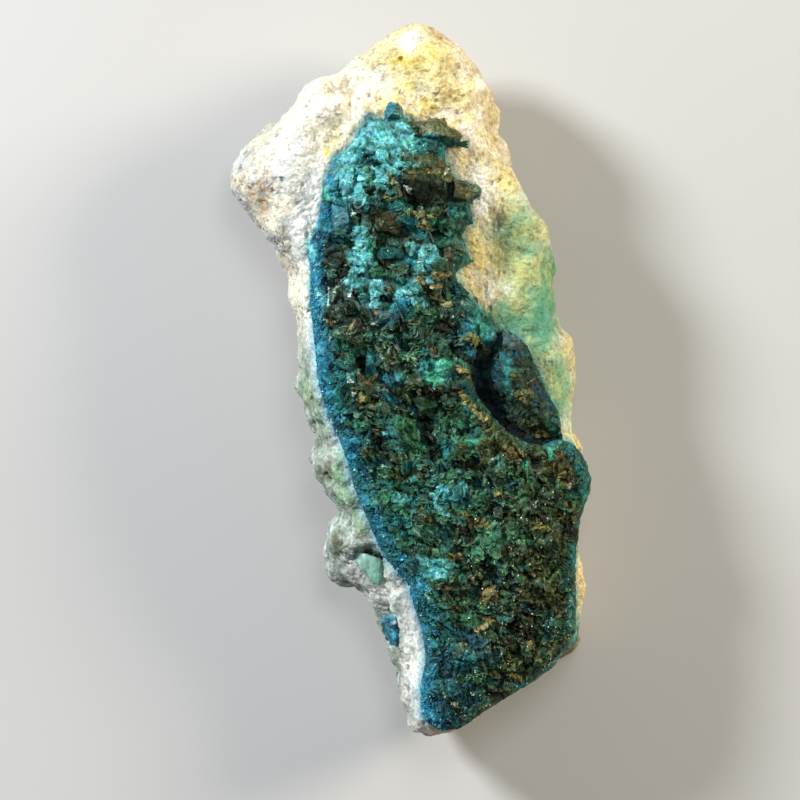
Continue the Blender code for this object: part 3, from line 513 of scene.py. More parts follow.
def rock_colours(co, depth, front):
    """The rock's colour at each point: chalky, then its patches, its stains, and painted shade in its creases
    and low on its sides.
    """
    plan = co[:, :2]
    cloud = grain(co, 3.2, 3, 5.0)
    fine = grain(co, 0.8, 3, 6.0)
    wander = plan + np.stack([grain(co, 1.0, 3, 7.0), grain(co, 1.0, 3, 8.0)], 1) * 0.6
    # Cream, warmer to the right: partly the rock's own tone, partly painted warm light from that side.
    warm = ramp(plan[:, 0] + 0.9 * cloud, -9.0, -1.0)[:, None]
    cream, white, bluish_shade = rgb("e0dac4") * (1 - warm) + rgb("e6d498") * warm, rgb("f3eedd"), rgb("b9c3c8")
    colour = cream + (white - cream) * ramp(cloud + 0.4 * fine, -0.3, 0.6)[:, None]
    leftward = left_share(wander, 0.8)

    def blend(target, amount):
        nonlocal colour
        colour = colour + (target - colour) * np.clip(amount, 0, 1)[:, None]

    pinkish = ramp(plan[:, 1], 18, 24) * ramp(plan[:, 0], 0, 4)
    blend(rgb("ecd3b2"), 0.55 * pinkish * ramp(fine, -0.3, 0.4))
    # Painted shade: bluish grey on the upper left, where the rock faces away from the light.
    upper_left = ramp(-plan[:, 0], 7.5, 11) * ramp(plan[:, 1], 8, 13)
    blend(bluish_shade, 0.8 * upper_left * ramp(cloud - 0.3 * fine, -0.4, 0.4))
    streak = grain(co * [1.0, 0.25, 1.0], 0.55, 3, 9.0)
    blend(rgb("9cada4"), 0.9 * leftward)
    blend(rgb("879c8c"), 0.8 * leftward * ramp(streak + 0.5 * cloud, 0.0, 0.5))
    blend(rgb("cfdad4"), 0.7 * leftward * ramp(-streak, 0.05, 0.5))
    blend(rgb("93b67c"), 0.95 * patch(GREEN, wander))
    blend(rgb("559c74"), 0.8 * patch(GREEN, wander) * ramp(cloud + 0.3 * fine, -0.25, 0.3))
    blend(rgb("4fa386"), 0.9 * patch(MINT, wander))
    blend(rgb("dccb62"), 0.95 * patch(OCHRE, wander) * ramp(fine, -0.5, 0.2))
    blend(rgb("c29a2e"), 0.9 * patch(OCHRE, wander) ** 2 * ramp(fine, 0.0, 0.4))
    blend(rgb("b58a45"), 0.9 * patch(RUST, wander) * ramp(fine, -0.4, 0.2))
    blend(rgb("fbfaf5"), 0.95 * patch(WHITE_AND_LIGHT, wander) * ramp(fine, -0.8, 0.1))
    blend(rgb("5c6040"), 0.9 * patch(OLIVE_SHADE, wander))
    right_edge = ramp(plan[:, 0] - 0.02 * plan[:, 1], 14.6, 15.2) * ramp(-plan[:, 1], 11, 14)
    blend(rgb("f2d698"), 0.9 * right_edge)
    covered, near = under_crystals(plan)
    # Dark green where the crust wraps the lower right edge, and a dark brown foot below: their own colours,
    # made darker as painted shade for that shaded corner.
    lower_right = ramp(-plan[:, 1] + 0.8 * cloud + 0.4 * fine, 21.6, 22.8) * ramp(plan[:, 0], 6, 8)
    lower_right = lower_right * (1 - ramp(near, 1.6, 3.0)) * ramp(co[:, 2], 3.0, 6.0)
    blend(rgb("1c3325"), 0.95 * lower_right)
    blend(rgb("4b4a2c"), 0.6 * lower_right * ramp(fine, 0.0, 0.4))
    foot = ramp(-plan[:, 1] + 2.0 * cloud + 1.0 * fine, 21.6, 24.0) * ramp(plan[:, 0], 5, 8)
    foot = foot * (1 - ramp(co[:, 2], 4.0, 7.0))
    blend(rgb("6a5c3c"), 0.8 * foot)
    lower = ramp(bed_height(plan) - co[:, 2], 5.5, 9.0)
    blend(rgb("cdbf9b"), 0.6 * lower * ramp(cloud, -0.4, 0.3))
    blend(rgb("a99a78"), 0.5 * lower * ramp(fine, 0.0, 0.5))
    blend(rgb("9db08c"), 0.4 * lower * ramp(-cloud, 0.0, 0.5))
    # Painted shade: dark in the creases, more so low on the sides and on the left, and the rock darker low
    # down its sides.
    below = ramp(bed_height(plan) - co[:, 2], 0.6, 3.6)
    away = np.maximum(below, 0.8 * leftward)
    blend(colour * [0.40, 0.37, 0.30], (0.34 + 0.40 * away) * ramp(depth, 0.0, 0.075))
    colour = colour * (1 - 0.16 * below)[:, None]
    stain = front * (1 - ramp(near + 0.35 * fine, 0.05, 0.65))
    blend(rgb("4aa6a6"), 0.75 * stain * (1 - leftward))
    blend(rgb("9fc8d6"), 0.85 * leftward * front * (1 - ramp(near + 0.3 * fine, 0.1, 0.9)))
    blend(rgb("0f3f4c"), covered * front)
    # Painted shadow: near black on the rock in the cleft.
    blend(rgb("08222b"), 0.95 * inside(CLEFT, plan) * front)
    # Painted shade: dark olive in the gap over the nodule.
    blend(rgb("3a472b"), 0.95 * (inside(NODULE_GAP, plan) & (co[:, 2] > 7)))
    return colour


# The nodule, seen from above: y, left and right ends, and half its thickness, from the bottom up.
NODULE_FOOT, NODULE_TOP = -18.45, -15.4
NODULE_ROWS = np.array([
    (-18.45, -3.2, -2.8, 0.4), (-18.1, -3.6, -2.6, 0.8), (-17.6, -3.95, -2.45, 1.15),
    (-17.1, -4.5, -2.4, 1.3), (-16.6, -4.9, -2.4, 1.35), (-16.1, -5.05, -2.5, 1.3), (-15.85, -5.1, -3.0, 1.1),
    (-15.6, -5.05, -3.9, 0.7), (-15.4, -4.9, -4.5, 0.3),
])
# The gap over it, painted dark olive as shade on the rock.
NODULE_GAP = [
    (-4.3, -15.8), (-4.2, -15.25), (-3.8, -15.05), (-3.2, -15.1), (-2.7, -15.5), (-2.5, -16.0), (-3.0, -16.0),
    (-3.9, -15.7),
]


def nodule_face(x, y):
    """The height of the nodule's flat front."""
    return 10.6 + 0.35 * (x + 3.7) + 0.30 * (y + 17)


def refitted(co):
    """Fits the rock closely round the nodule, with a dark gap over it, and fills it out by the side pocket.

    It also gives which points that moves far, and which are clear of the nodule and free to be evened out.
    """
    x, y, z = co.T
    left, right = (np.interp(y, NODULE_ROWS[:, 0], NODULE_ROWS[:, index]) for index in (1, 2))
    out = np.maximum(np.maximum(left - x, x - right), np.maximum(y - NODULE_TOP, NODULE_FOOT - y))
    face = nodule_face(x, y) + 0.12 * grain(co, 0.6, 2, 94.0)
    here = (out < 1.8) & (z > 7.0)
    z = np.where(here & (z < 11), np.maximum(z, face - 0.1 - 0.6 * np.clip(out, 0, 2)), z)
    z = np.where(here & (out < 0.6), np.minimum(z, face + 0.1 + 2.0 * np.clip(out, 0, 1)), z)
    z = np.where(here & (out < -0.12), np.clip(z, face - 1.6, face - 0.5), z)
    z = np.where(here & (out > 0.0) & inside(NODULE_GAP, co[:, :2]), face - 0.9, z)
    shelf = 9.7 + 0.6 * (x + 2.5) + 0.1 * (y + 19.5) - 0.9 * np.clip(-19.7 - y, 0, 3)
    shelf = shelf + 0.15 * grain(co, 0.8, 2, 96.0)
    here = (x > -4.2) & (x < -1.6) & (y > -21.8) & (y < -18.3) & (z > 6.5)
    z = np.where(here, np.maximum(z, shelf), z)
    wall = 11.2 + 0.25 * (y + 22.5) + 1.2 * np.minimum(x, 0)
    wall = wall - 3.0 * np.clip(-0.88 - x, 0, 2) - 3.0 * np.clip(-24.3 - y, 0, 2)
    here = (x > -1.5) & (x < 0.4) & (y > -25.2) & (y < -20.8) & (z > 6.5)
    z = np.where(here, np.maximum(z, wall + 0.15 * grain(co, 0.8, 2, 95.0)), z)
    moved_far = (np.abs(z - co[:, 2]) > 0.25) & (out > 0.3)
    return np.stack([x, y, z], 1), moved_far, ramp(out, 0.12, 0.45)


def averaged(values, links):
    """The mean of each point's neighbours; links gives each edge both ways."""
    count = np.bincount(links[:, 0], minlength=len(values))
    columns = [np.bincount(links[:, 0], column[links[:, 1]], len(values)) / count for column in values.T]
    return np.stack(columns, 1)


SPREADING, EVENING = 6, 40  # how many steps the evened area grows by, and is evened in


def relaxed(mesh, co, moved, free):
    """Evens out the points where the mesh is stretched, and roughens them again."""
    edges = np.empty(len(mesh.edges) * 2, np.int32)
    mesh.edges.foreach_get("vertices", edges)
    edges = edges.reshape(-1, 2)
    links = np.concatenate([edges, edges[:, ::-1]])
    share = moved[:, None].astype(float)
    for _ in range(SPREADING):
        share = averaged(share, links)
    share = ramp(share, 0.02, 0.35) * free[:, None]
    for _ in range(EVENING):
        co = co + 0.7 * share * (averaged(co, links) - co)
    set_coordinates(mesh, co)
    rough = 0.12 * grain(co, 0.9, 3, 97.0) + 0.30 * np.minimum(np.abs(grain(co, 1.3, 2, 98.0)), 0.4) - 0.06
    return co + share * rough[:, None] * normals(mesh)


ROCK_VOXEL, ROCK_KEPT, CREASE_STEPS = 0.22, 0.80, 12


def rock():
    """The host rock in detail, made from its own solid."""
    mesh = smoothed(remeshed(solid_of("host_rock"), ROCK_VOXEL), 2)
    co = coordinates(mesh)
    plan = co[:, :2]
    covered = inside(CRUST_OUTLINE, plan) & (distance_to(CRUST_OUTLINE, plan) > 0.9)
    covered = covered & (co[:, 2] > bed_height(plan) - 2)
    mesh = hidden_simplified(mesh, covered, ROCK_KEPT)
    co, normal = coordinates(mesh), normals(mesh)
    rise, front = rock_relief(co)
    co += rise[:, None] * normal
    co = relaxed(mesh, *refitted(co))
    co[:, 2] = np.maximum(co[:, 2], 0.0)
    set_coordinates(mesh, co)
    tint(mesh, rock_colours(co, sunken(mesh, CREASE_STEPS), front))
    placed("pale_rock", mesh, rock_material(), "host_rock")


# ---------------------------------------------------------------- the crust's colours

# Each paint: two colours it wavers between, how far it stands up, its gloss and its softness, 0 to 1, and
# the strength of its strokes.
PAINTS = {
    "sky": ("4fa3b4", "7dbfc6", 0.12, 0.10, 1.0, 0.90),
    "azure": ("26809c", "1a6a8c", 0.05, 0.30, 0.85, 0.85),
    "navy": ("082736", "0e4659", -0.06, 0.40, 0.45, 0.80),
    "turquoise": ("3f9ba3", "6cb4bd", 0.12, 0.10, 1.0, 0.90),
    "teal": ("186269", "2a8081", 0.0, 0.40, 0.4, 0.75),
    "deep_teal": ("0a3a44", "13555d", -0.06, 0.50, 0.3, 0.75),
    "mint": ("4aa88a", "328e74", 0.10, 0.10, 1.0, 0.85),
    "green": ("285d42", "437a5a", 0.04, 0.40, 0.3, 0.75),
    "dark_green": ("12291c", "24432d", -0.04, 0.50, 0.0, 0.75),
    "olive": ("3c4226", "585c35", 0.04, 0.50, 0.0, 0.75),
    "bronze": ("4b452a", "766d45", 0.04, 0.50, 0.0, 0.90),
    "khaki": ("716a3e", "948956", 0.06, 0.55, 0.0, 0.80),
    "tan": ("86744d", "ab976c", 0.08, 0.45, 0.0, 0.85),
    "brown": ("3b321b", "554628", 0.0, 0.55, 0.0, 0.80),
    "umber": ("17150d", "2a2416", -0.05, 0.60, 0.0, 0.80),
    # Pit shade: painted shadow, near black, in the pits of the crust.
    "pit_shade": ("060c0a", "0d1713", -0.24, 0.40, 0.1, 0.80),
    "slate": ("364e57", "50696f", 0.02, 0.35, 0.3, 0.85),
    # The white paint is painted glints: tiny pale highlights on the crust.
    "white": ("b4c2c2", "dbe3e3", 0.05, 1.00, 0.0, 0.90),
}

# Strokes of each paint on the crust, seen from above: half width, then the points of a line.
STROKES = {
    "sky": [
        (0.5, -3.4, 23.2, -3.9, 22.3), (0.5, -0.9, 23.0, -0.3, 21.9), (0.45, -5.4, 21.2, -4.4, 21.4),
        (0.6, -6.2, 19.8, -5.2, 19.5), (0.85, -5.9, 18.1, -5.2, 17.4), (0.5, -5.8, 16.8, -5.5, 15.8),
        (0.4, -4.5, 12.4, -4.7, 11.2), (0.6, 0.3, 11.6, 1.9, 11.7), (0.5, -1.0, 7.6, -0.3, 7.4),
        (0.45, -5.0, 12.0, -5.1, 10.2, -5.5, 8.6), (0.45, -3.6, 7.9, -3.4, 6.9), (0.35, -3.4, 8.8, -2.6, 8.6),
        (0.3, -8.3, 8.0, -8.0, 6.9), (0.3, -9.1, 12.6, -8.9, 11.2), (0.25, 1.6, 9.1, 2.0, 8.9),
        (0.15, 2.0, -10.2, 2.4, -11.4, 3.3, -11.9),
    ],
    "azure": [
        (0.35, -4.7, 22.4, -5.6, 21.5, -6.3, 20.4), (0.4, -7.0, 19.4, -6.6, 20.1),
        (0.45, -7.3, 18.2, -7.0, 17.4), (0.42, -7.8, 15.6, -7.5, 14.4, -7.4, 13.8),
        (0.28, -6.6, 15.2, -6.5, 13.8), (0.22, -5.8, 14.9, -5.7, 13.6), (0.35, -2.0, 24.5, -1.8, 23.9),
        (0.4, -0.4, 11.0, 0.1, 10.4), (0.35, -1.0, 6.9, -0.3, 6.8), (0.6, -2.4, 0.2, -1.8, -0.1),
        (0.3, -1.5, 0.8, -1.3, 0.6), (0.14, -3.8, 2.1, -3.4, 1.6, -3.3, 0.9),
        (0.45, -8.6, 10.5, -8.6, 8.0, -8.5, 5.5, -8.2, 3.0, -8.1, 1.0), (0.4, -8.0, 0.6, -7.6, -1.0),
        (0.3, 4.8, 3.2, 5.3, 2.5), (0.12, 7.9, 2.6, 8.3, 2.2), (0.9, 1.3, -27.6, 1.6, -29.0, 1.3, -29.8),
        (0.45, 1.3, -29.9, 2.2, -30.6, 2.9, -31.0), (0.3, 5.0, 5.2, 5.3, 4.6), (0.45, 0.7, -18.4, 0.6, -19.2),
        (0.35, -2.9, -1.0, -1.4, -1.8),
    ],
    "navy": [
        (0.6, -8.2, 13.0, -7.0, 12.4), (0.3, -7.2, 15.2, -7.0, 13.6), (0.25, -6.2, 15.0, -6.1, 13.5),
        (0.3, -5.4, 14.6, -5.5, 13.2), (0.6, -6.8, 12.6, -5.4, 12.6), (0.3, -7.9, 9.0, -7.6, 8.4),
        (0.3, -3.5, 4.8, -2.2, 5.2, -1.2, 5.9), (0.35, -1.5, 5.8, -0.7, 6.2), (0.55, 7.0, 1.6, 7.4, 0.4),
        (0.45, 11.2, -0.8, 12.0, -1.4), (0.5, 11.3, -2.2, 12.6, -2.2), (0.4, 9.3, 2.5, 10.2, 2.4),
        (1.0, 2.6, -24.6, 3.2, -26.0), (0.8, 4.6, -22.8, 6.0, -23.6), (0.8, 2.8, -28.6, 3.6, -30.2),
        (1.0, 4.4, -28.2, 5.6, -28.8), (0.4, 14.1, -17.9, 14.1, -18.1), (0.5, 6.8, -17.4, 7.6, -18.0),
        (0.5, 10.2, -20.2, 11.0, -20.6), (0.4, 5.6, -9.2, 7.4, -9.4), (0.35, 2.8, -7.8, 3.2, -8.2),
    ],
    "turquoise": [
        (0.45, -2.9, 22.9, -2.4, 22.2), (0.8, -2.3, 21.8, -1.3, 21.0), (0.6, -0.5, 21.4, 0.3, 20.9),
        (0.5, -3.0, 20.4, -2.4, 19.2), (0.5, -1.3, 20.2, -1.2, 19.2), (0.3, -4.6, 19.2, -3.8, 19.4),
        (0.5, -4.9, 18.2, -4.6, 17.5), (0.5, -4.9, 16.9, -4.6, 16.2), (0.45, -3.1, 18.6, -2.5, 17.8),
        (0.55, 1.2, 10.6, 2.0, 11.2), (0.75, -4.6, 13.2, -4.4, 11.6, -4.6, 10.4), (0.6, 5.2, 5.0, 6.1, 4.2),
        (0.4, -1.2, 0.5, -0.9, -0.1), (0.6, 1.8, -16.6, 3.0, -17.0), (0.3, 2.2, -16.3, 3.0, -16.2),
        (0.4, 1.0, -17.2, 2.2, -17.6), (0.25, 1.4, -18.8, 1.6, -19.4), (0.45, -1.4, -10.8, -0.4, -10.8),
        (0.4, 4.4, -9.2, 4.8, -10.0), (0.5, 2.6, -9.6, 3.6, -10.2),
    ],
    "teal": [
        (0.4, -4.9, 20.5, -3.4, 19.6), (0.3, -6.6, 17.6, -6.2, 16.2, -6.0, 15.6),
        (0.35, -2.2, 15.8, -1.4, 15.6), (0.5, 0.8, 20.9, 1.8, 20.6), (0.45, 2.2, 20.6, 2.9, 20.9),
        (0.3, 0.9, 21.6, 4.3, 21.3), (0.7, -0.3, 14.4, 0.8, 13.2), (0.3, 2.8, 12.8, 3.6, 13.3),
        (0.3, 4.4, 10.6, 5.2, 10.9), (0.3, -1.3, 9.0, -0.5, 8.6), (0.25, 3.5, 16.0, 3.7, 15.3),
        (0.35, 5.6, 7.0, 6.1, 5.6), (0.22, 0.6, 3.8, 1.6, 3.5), (0.6, -6.4, 0.9, -5.6, -0.2),
        (0.4, 6.8, 5.0, 6.9, 3.5), (0.35, -6.4, -2.2, -5.6, -3.2), (0.5, -6.9, -0.9, -6.4, -2.0),
        (0.35, 2.9, -5.2, 3.6, -5.6, 3.2, -6.6), (0.5, -1.4, -12.2, -0.4, -12.6),
        (0.4, 0.2, -10.6, 0.9, -10.9), (0.5, 3.4, -10.4, 5.2, -10.8), (0.35, 12.4, -3.6, 13.2, -3.5),
        (0.3, 12.9, -4.4, 13.3, -4.5), (0.45, 14.4, -6.5, 15.3, -7.6, 15.8, -9.0, 15.6, -10.2),
        (0.3, 14.4, -14.8, 14.5, -16.4), (0.3, 14.4, -19.2, 14.4, -21.8), (0.6, 2.0, -22.6, 2.6, -23.8),
        (0.4, 13.9, -5.9, 14.6, -6.4), (0.45, 1.7, -20.2, 2.0, -21.6), (0.35, 9.4, -27.6, 10.4, -27.2),
        (0.35, 12.2, -5.4, 13.4, -5.5), (0.25, 7.8, 2.5, 8.3, 2.1, 8.8, 1.7),
        (0.22, 8.5, 1.2, 8.5, 0.2, 8.6, -0.5),
    ],
    "deep_teal": [
        (0.5, -4.4, 20.4, -3.8, 20.2), (0.35, -6.4, 16.4, -6.1, 15.7), (0.8, 3.6, 15.4, 4.8, 15.0),
        (0.3, 0.0, 12.9, 1.0, 12.9), (0.45, -2.6, 11.5, -1.4, 11.5), (0.55, 3.9, 8.6, 4.8, 7.0, 5.4, 6.2),
        (0.5, 4.4, 4.4, 5.6, 3.9), (0.35, 4.4, -0.2, 5.2, -1.0, 5.9, -1.7), (0.45, -4.4, -7.7, -3.6, -7.6),
        (0.3, -2.9, -7.3, -2.2, -7.5), (0.4, 8.6, -9.2, 9.4, -9.4), (0.5, 7.8, 1.2, 7.9, 0.2),
        (0.6, 5.8, 1.2, 6.4, 0.4, 6.6, -0.6), (0.5, 2.6, -13.6, 3.4, -14.2), (0.5, 12.2, -23.0, 12.4, -21.4),
        (0.6, 6.4, -24.6, 7.6, -25.2), (0.4, 0.6, -3.4, 0.2, -2.2),
    ],
    "mint": [
        (0.5, 1.6, 0.3, 2.2, -0.1), (0.55, 2.3, 1.8, 3.4, 1.2), (0.4, 1.9, 0.6, 2.6, 0.6),
        (0.3, -5.5, 2.1, -5.4, 2.1), (0.3, -0.9, 16.0, -0.3, 15.4), (0.45, 5.9, 4.9, 6.5, 4.3),
        (0.2, 5.4, -20.6, 5.5, -20.7), (0.16, 5.9, -21.1, 6.0, -21.1), (0.3, -7.6, 17.0, -7.4, 16.4),
        (0.25, 12.5, -6.1, 12.7, -6.9), (0.3, 5.2, -5.6, 5.8, -5.6), (0.25, 10.3, -7.6, 10.4, -8.1),
        (0.25, 2.0, 14.1, 2.6, 14.2), (0.25, 4.5, 14.9, 4.6, 14.8), (0.3, -3.7, 12.6, -3.6, 11.4),
    ],
    "green": [
        (0.45, -3.9, 18.6, -3.6, 17.6), (0.45, -3.6, 9.7, -2.2, 9.6, -1.6, 9.2), (0.7, 0.6, 6.4, 1.9, 5.8),
        (0.35, -4.6, 2.8, -3.2, 2.9), (0.5, -0.4, 2.2, 0.6, 2.4), (0.3, 3.1, 8.0, 3.5, 7.5),
        (0.5, -5.4, -3.8, -4.6, -4.1), (0.35, -1.2, -3.3, -0.9, -4.6), (0.8, -0.2, -3.8, 0.3, -5.4),
        (0.5, 0.4, -5.6, 0.9, -6.4), (0.4, 3.9, -5.0, 4.9, -5.4), (0.7, 4.8, -11.4, 6.2, -11.0),
        (0.8, -2.2, -10.6, -1.0, -11.6), (0.5, 8.9, -8.3, 9.6, -9.0), (0.7, 8.0, -10.2, 9.8, -10.4),
        (0.8, 6.0, -13.6, 7.4, -14.2), (0.6, 5.8, -15.2, 7.4, -15.8), (0.45, 14.6, -10.4, 15.4, -10.8),
        (0.6, 5.4, -26.6, 6.6, -26.8), (0.8, 4.4, -20.6, 5.4, -21.6), (0.25, 5.8, -1.9, 6.3, -2.0),
        (0.5, 10.2, -14.0, 11.0, -14.6), (0.45, -3.2, -8.0, -2.2, -8.4), (0.5, 12.6, -9.2, 13.4, -9.7),
        (0.35, 12.2, -3.7, 12.5, -4.1), (0.6, 3.0, -3.6, 4.2, -3.2), (0.5, 8.7, -13.8, 9.6, -14.2),
        (0.3, 9.2, 0.9, 9.9, 0.9),
    ],
    "dark_green": [
        (0.35, -6.6, 12.0, -5.3, 12.1), (0.5, -3.7, 17.0, -2.6, 16.8), (0.3, 0.2, 22.9, 0.5, 22.2),
        (0.5, 4.0, 12.0, 4.6, 11.2), (0.45, -5.8, 3.6, -4.6, 4.1), (0.3, -4.6, 3.6, -3.0, 3.9),
        (0.8, 0.0, -1.6, 2.4, -2.4), (0.6, 2.8, -1.8, 4.0, -3.0), (0.8, 8.6, -12.8, 9.8, -13.4),
        (0.6, 7.0, -7.9, 8.2, -8.9), (0.6, 3.8, -7.0, 5.6, -7.4), (0.5, 9.6, 1.9, 10.6, 1.6),
        (0.3, 10.8, 1.0, 11.1, 0.3), (0.6, 11.8, -15.2, 13.0, -15.6), (0.8, 6.6, -22.6, 8.0, -23.4),
        (0.5, 10.6, -6.9, 12.0, -6.6), (0.3, 1.2, 15.1, 2.2, 14.9), (0.4, 11.0, -3.3, 11.8, -3.7),
    ],
    "olive": [
        (0.45, -0.6, 20.0, 1.2, 20.2, 3.2, 19.3), (0.3, -0.4, 12.5, 0.9, 12.4), (0.35, -6.3, 2.5, -5.9, 2.2),
        (0.7, -2.4, 2.6, -1.6, 2.0), (0.6, 0.7, 19.9, 2.6, 19.3), (0.35, -1.3, 17.4, -0.9, 16.9),
        (0.45, -5.2, -0.6, -4.0, -1.4), (0.35, -4.4, -6.4, -3.0, -6.4, -1.8, -7.0),
        (0.3, -1.6, -7.1, -0.5, -6.7), (0.5, -1.6, -8.2, -0.4, -8.6), (0.3, 1.2, -10.6, 0.6, -11.6),
        (0.5, 4.6, -5.6, 4.4, -6.4), (0.5, 6.4, -3.6, 7.4, -4.6), (0.9, 6.8, -6.0, 8.2, -5.4),
        (0.8, 12.2, -7.8, 12.9, -8.4), (0.3, 10.9, -9.6, 11.3, -9.9), (0.5, 8.4, -15.2, 9.2, -14.9),
        (0.8, 10.4, -15.8, 12.0, -16.6), (0.6, 11.8, -17.2, 13.0, -17.8), (0.9, 10.2, -19.2, 11.6, -19.6),
        (0.8, 12.6, -19.0, 13.4, -20.4), (0.7, 12.6, -13.9, 13.6, -14.6), (0.45, 10.0, -3.6, 11.4, -4.0),
        (0.45, 11.2, -4.6, 12.6, -4.8), (0.4, 5.4, 3.6, 6.2, 3.2), (0.45, 13.2, -12.0, 14.4, -12.4),
        (0.3, 9.2, 0.5, 9.8, 0.2),
    ],
    "bronze": [
        (0.9, 0.8, 22.9, 2.4, 22.9), (0.6, 2.6, 22.6, 3.9, 21.9), (0.35, 0.0, 18.7, 1.8, 18.8, 3.3, 18.3),
        (0.5, 4.3, 17.4, 5.3, 16.9), (0.4, 12.9, -7.6, 13.8, -8.6), (0.5, 8.6, -6.6, 9.4, -7.0),
        (0.5, 5.6, -12.6, 6.4, -12.9), (0.4, 10.4, -17.4, 11.4, -17.0),
    ],
    "khaki": [
        (0.3, 0.0, 15.0, 1.2, 14.7, 2.0, 14.6), (0.3, -2.0, 18.3, -1.7, 17.6), (0.18, -0.8, 17.0, -0.6, 16.7),
        (0.3, -2.6, 16.4, -1.8, 16.2), (0.2, -4.8, -0.9, -4.2, -1.5), (0.4, 4.6, -1.4, 5.6, -2.6),
        (0.35, 5.6, -2.4, 6.6, -3.4), (0.5, 8.9, -6.0, 9.8, -6.4), (0.2, 7.6, -10.2, 8.6, -10.4),
        (0.35, 14.0, -11.0, 14.2, -11.4), (0.35, 11.4, -13.0, 11.9, -13.3),
        (0.2, 4.2, -11.8, 5.4, -12.1, 6.2, -12.3), (0.12, 10.6, -18.2, 12.0, -17.8),
        (0.6, 6.5, -19.4, 7.1, -19.0), (0.28, 9.4, -1.1, 10.0, -1.3), (0.2, 10.3, -0.9, 10.8, -1.2),
        (0.18, 9.6, -1.6, 10.2, -1.9), (0.13, 10.2, 1.1, 10.6, 1.15), (0.1, 11.8, -2.4, 12.0, -2.0),
        (0.12, 11.9, -3.2, 12.3, -3.1), (0.3, 7.4, -26.2, 7.9, -26.6), (0.28, 9.0, -26.6, 9.9, -26.8),
        (0.3, 10.8, -23.6, 11.1, -24.0), (0.12, 9.2, -25.4, 9.8, -25.2), (0.1, 10.7, -25.0, 11.4, -25.0),
        (0.12, 8.6, -24.3, 8.8, -25.2), (0.12, 12.5, -24.4, 12.6, -25.0), (0.2, 3.4, -20.5, 4.2, -20.4),
        (0.2, 4.4, -23.8, 4.9, -23.6), (0.3, 6.7, 2.9, 6.9, 2.7), (0.15, 13.1, -21.0, 13.3, -21.1),
        (0.12, 13.7, -23.0, 13.9, -23.2), (0.25, 11.4, -4.7, 12.2, -4.8), (0.18, -0.4, 0.1, -0.1, -0.3),
        (0.2, 4.7, 4.0, 5.9, 3.7),
    ],
    "tan": [
        (0.28, 2.2, 9.6, 3.2, 9.4), (0.33, 0.7, 8.8, 1.6, 8.5, 2.6, 8.4), (0.3, 2.7, 7.1, 3.3, 6.7),
        (0.34, 3.9, 1.1, 4.9, 0.7), (0.25, 0.9, 14.1, 1.5, 13.9), (0.3, 6.9, -18.7, 7.3, -18.8),
        (0.28, 6.0, -22.4, 6.6, -21.9, 7.3, -21.4), (0.32, 3.6, -15.9, 4.3, -15.9),
        (0.2, 5.1, -17.7, 5.6, -17.8), (0.2, 3.9, -29.0, 4.0, -29.0), (0.14, 4.0, -26.3, 4.0, -26.5),
        (0.2, -3.2, 6.3, -2.9, 6.0), (0.18, -7.2, 5.4, -6.9, 5.2), (0.18, -5.3, 5.2, -5.2, 4.7),
    ],
    "brown": [
        (0.5, 3.0, 19.0, 3.7, 18.3), (0.4, -0.6, 18.0, 0.4, 17.9), (0.18, -2.6, 14.9, -1.2, 13.4),
        (0.14, -3.2, 14.4, -1.9, 13.2), (0.15, -2.2, 13.2, -1.2, 12.8), (0.5, 3.0, 11.7, 3.4, 10.9),
        (0.25, 0.7, 7.7, 2.4, 7.3), (0.25, -2.1, 8.3, -1.7, 8.2), (0.35, 1.7, 3.0, 2.2, 2.2),
        (0.5, -4.4, 0.2, -3.7, -0.4), (0.3, -3.1, -4.3, -2.7, -4.5), (0.3, 0.3, -8.2, 0.8, -8.7),
        (0.45, 1.0, -12.2, 1.8, -12.4), (0.5, 4.0, -13.0, 4.9, -13.4), (0.4, 2.6, -18.4, 3.4, -18.7),
        (0.4, 13.2, -6.6, 13.6, -7.0), (0.6, 14.0, -7.6, 14.2, -9.0), (0.25, -3.8, 19.3, -3.7, 18.6),
        (0.4, 7.4, -19.8, 7.8, -19.4),
    ],
    "umber": [
        (0.9, 0.8, 17.4, 2.2, 16.2), (0.5, 2.4, 17.4, 3.2, 16.4), (0.85, -3.0, 14.9, -1.6, 13.6),
        (0.3, -4.9, 15.8, -4.7, 14.2), (0.85, -7.2, 11.0, -6.3, 10.2), (1.0, -6.6, 5.4, -4.8, 4.8),
        (0.8, 2.2, 5.2, 3.6, 4.9), (0.6, 1.0, -1.0, 4.0, -0.9), (0.5, -4.6, -2.2, -3.4, -2.0),
        (0.4, -3.2, -5.0, -2.4, -5.3), (0.5, 10.8, -6.3, 11.2, -7.6), (0.6, 10.9, -11.0, 11.6, -12.4),
        (0.6, 14.2, -13.0, 14.8, -14.2), (0.9, 9.6, -21.8, 10.6, -22.8), (0.6, 9.6, -0.2, 11.2, -0.3),
        (0.4, 4.6, -14.0, 5.4, -14.2), (0.3, 1.9, 20.9, 2.2, 20.3), (0.7, 8.6, -23.6, 9.4, -24.0),
        (0.5, 7.0, -28.0, 8.0, -27.9),
    ],
    # Painted shadow in the pits of the crust.
    "pit_shade": [
        (0.35, -4.1, 17.1, -3.7, 16.9), (0.25, -1.6, 18.3, -1.2, 18.0),
        (0.4, -0.9, 17.6, 0.0, 16.2, 0.8, 15.3), (0.3, 2.9, 15.2, 3.2, 14.6), (0.3, -0.8, 11.9, -0.5, 11.2),
        (0.32, -2.7, 7.4, -1.8, 7.3), (0.25, -2.8, 10.6, -1.2, 10.6, -0.7, 10.9), (0.5, -4.5, 1.8, -4.1, 1.1),
        (0.14, -5.9, 3.2, -4.9, 3.4, -3.6, 3.3, -2.8, 3.7), (0.5, 4.2, 2.6, 5.6, 1.9),
        (0.55, 0.9, -3.4, 1.5, -4.6, 2.0, -6.0, 2.2, -6.8), (0.14, -3.8, -6.9, -3.7, -6.9),
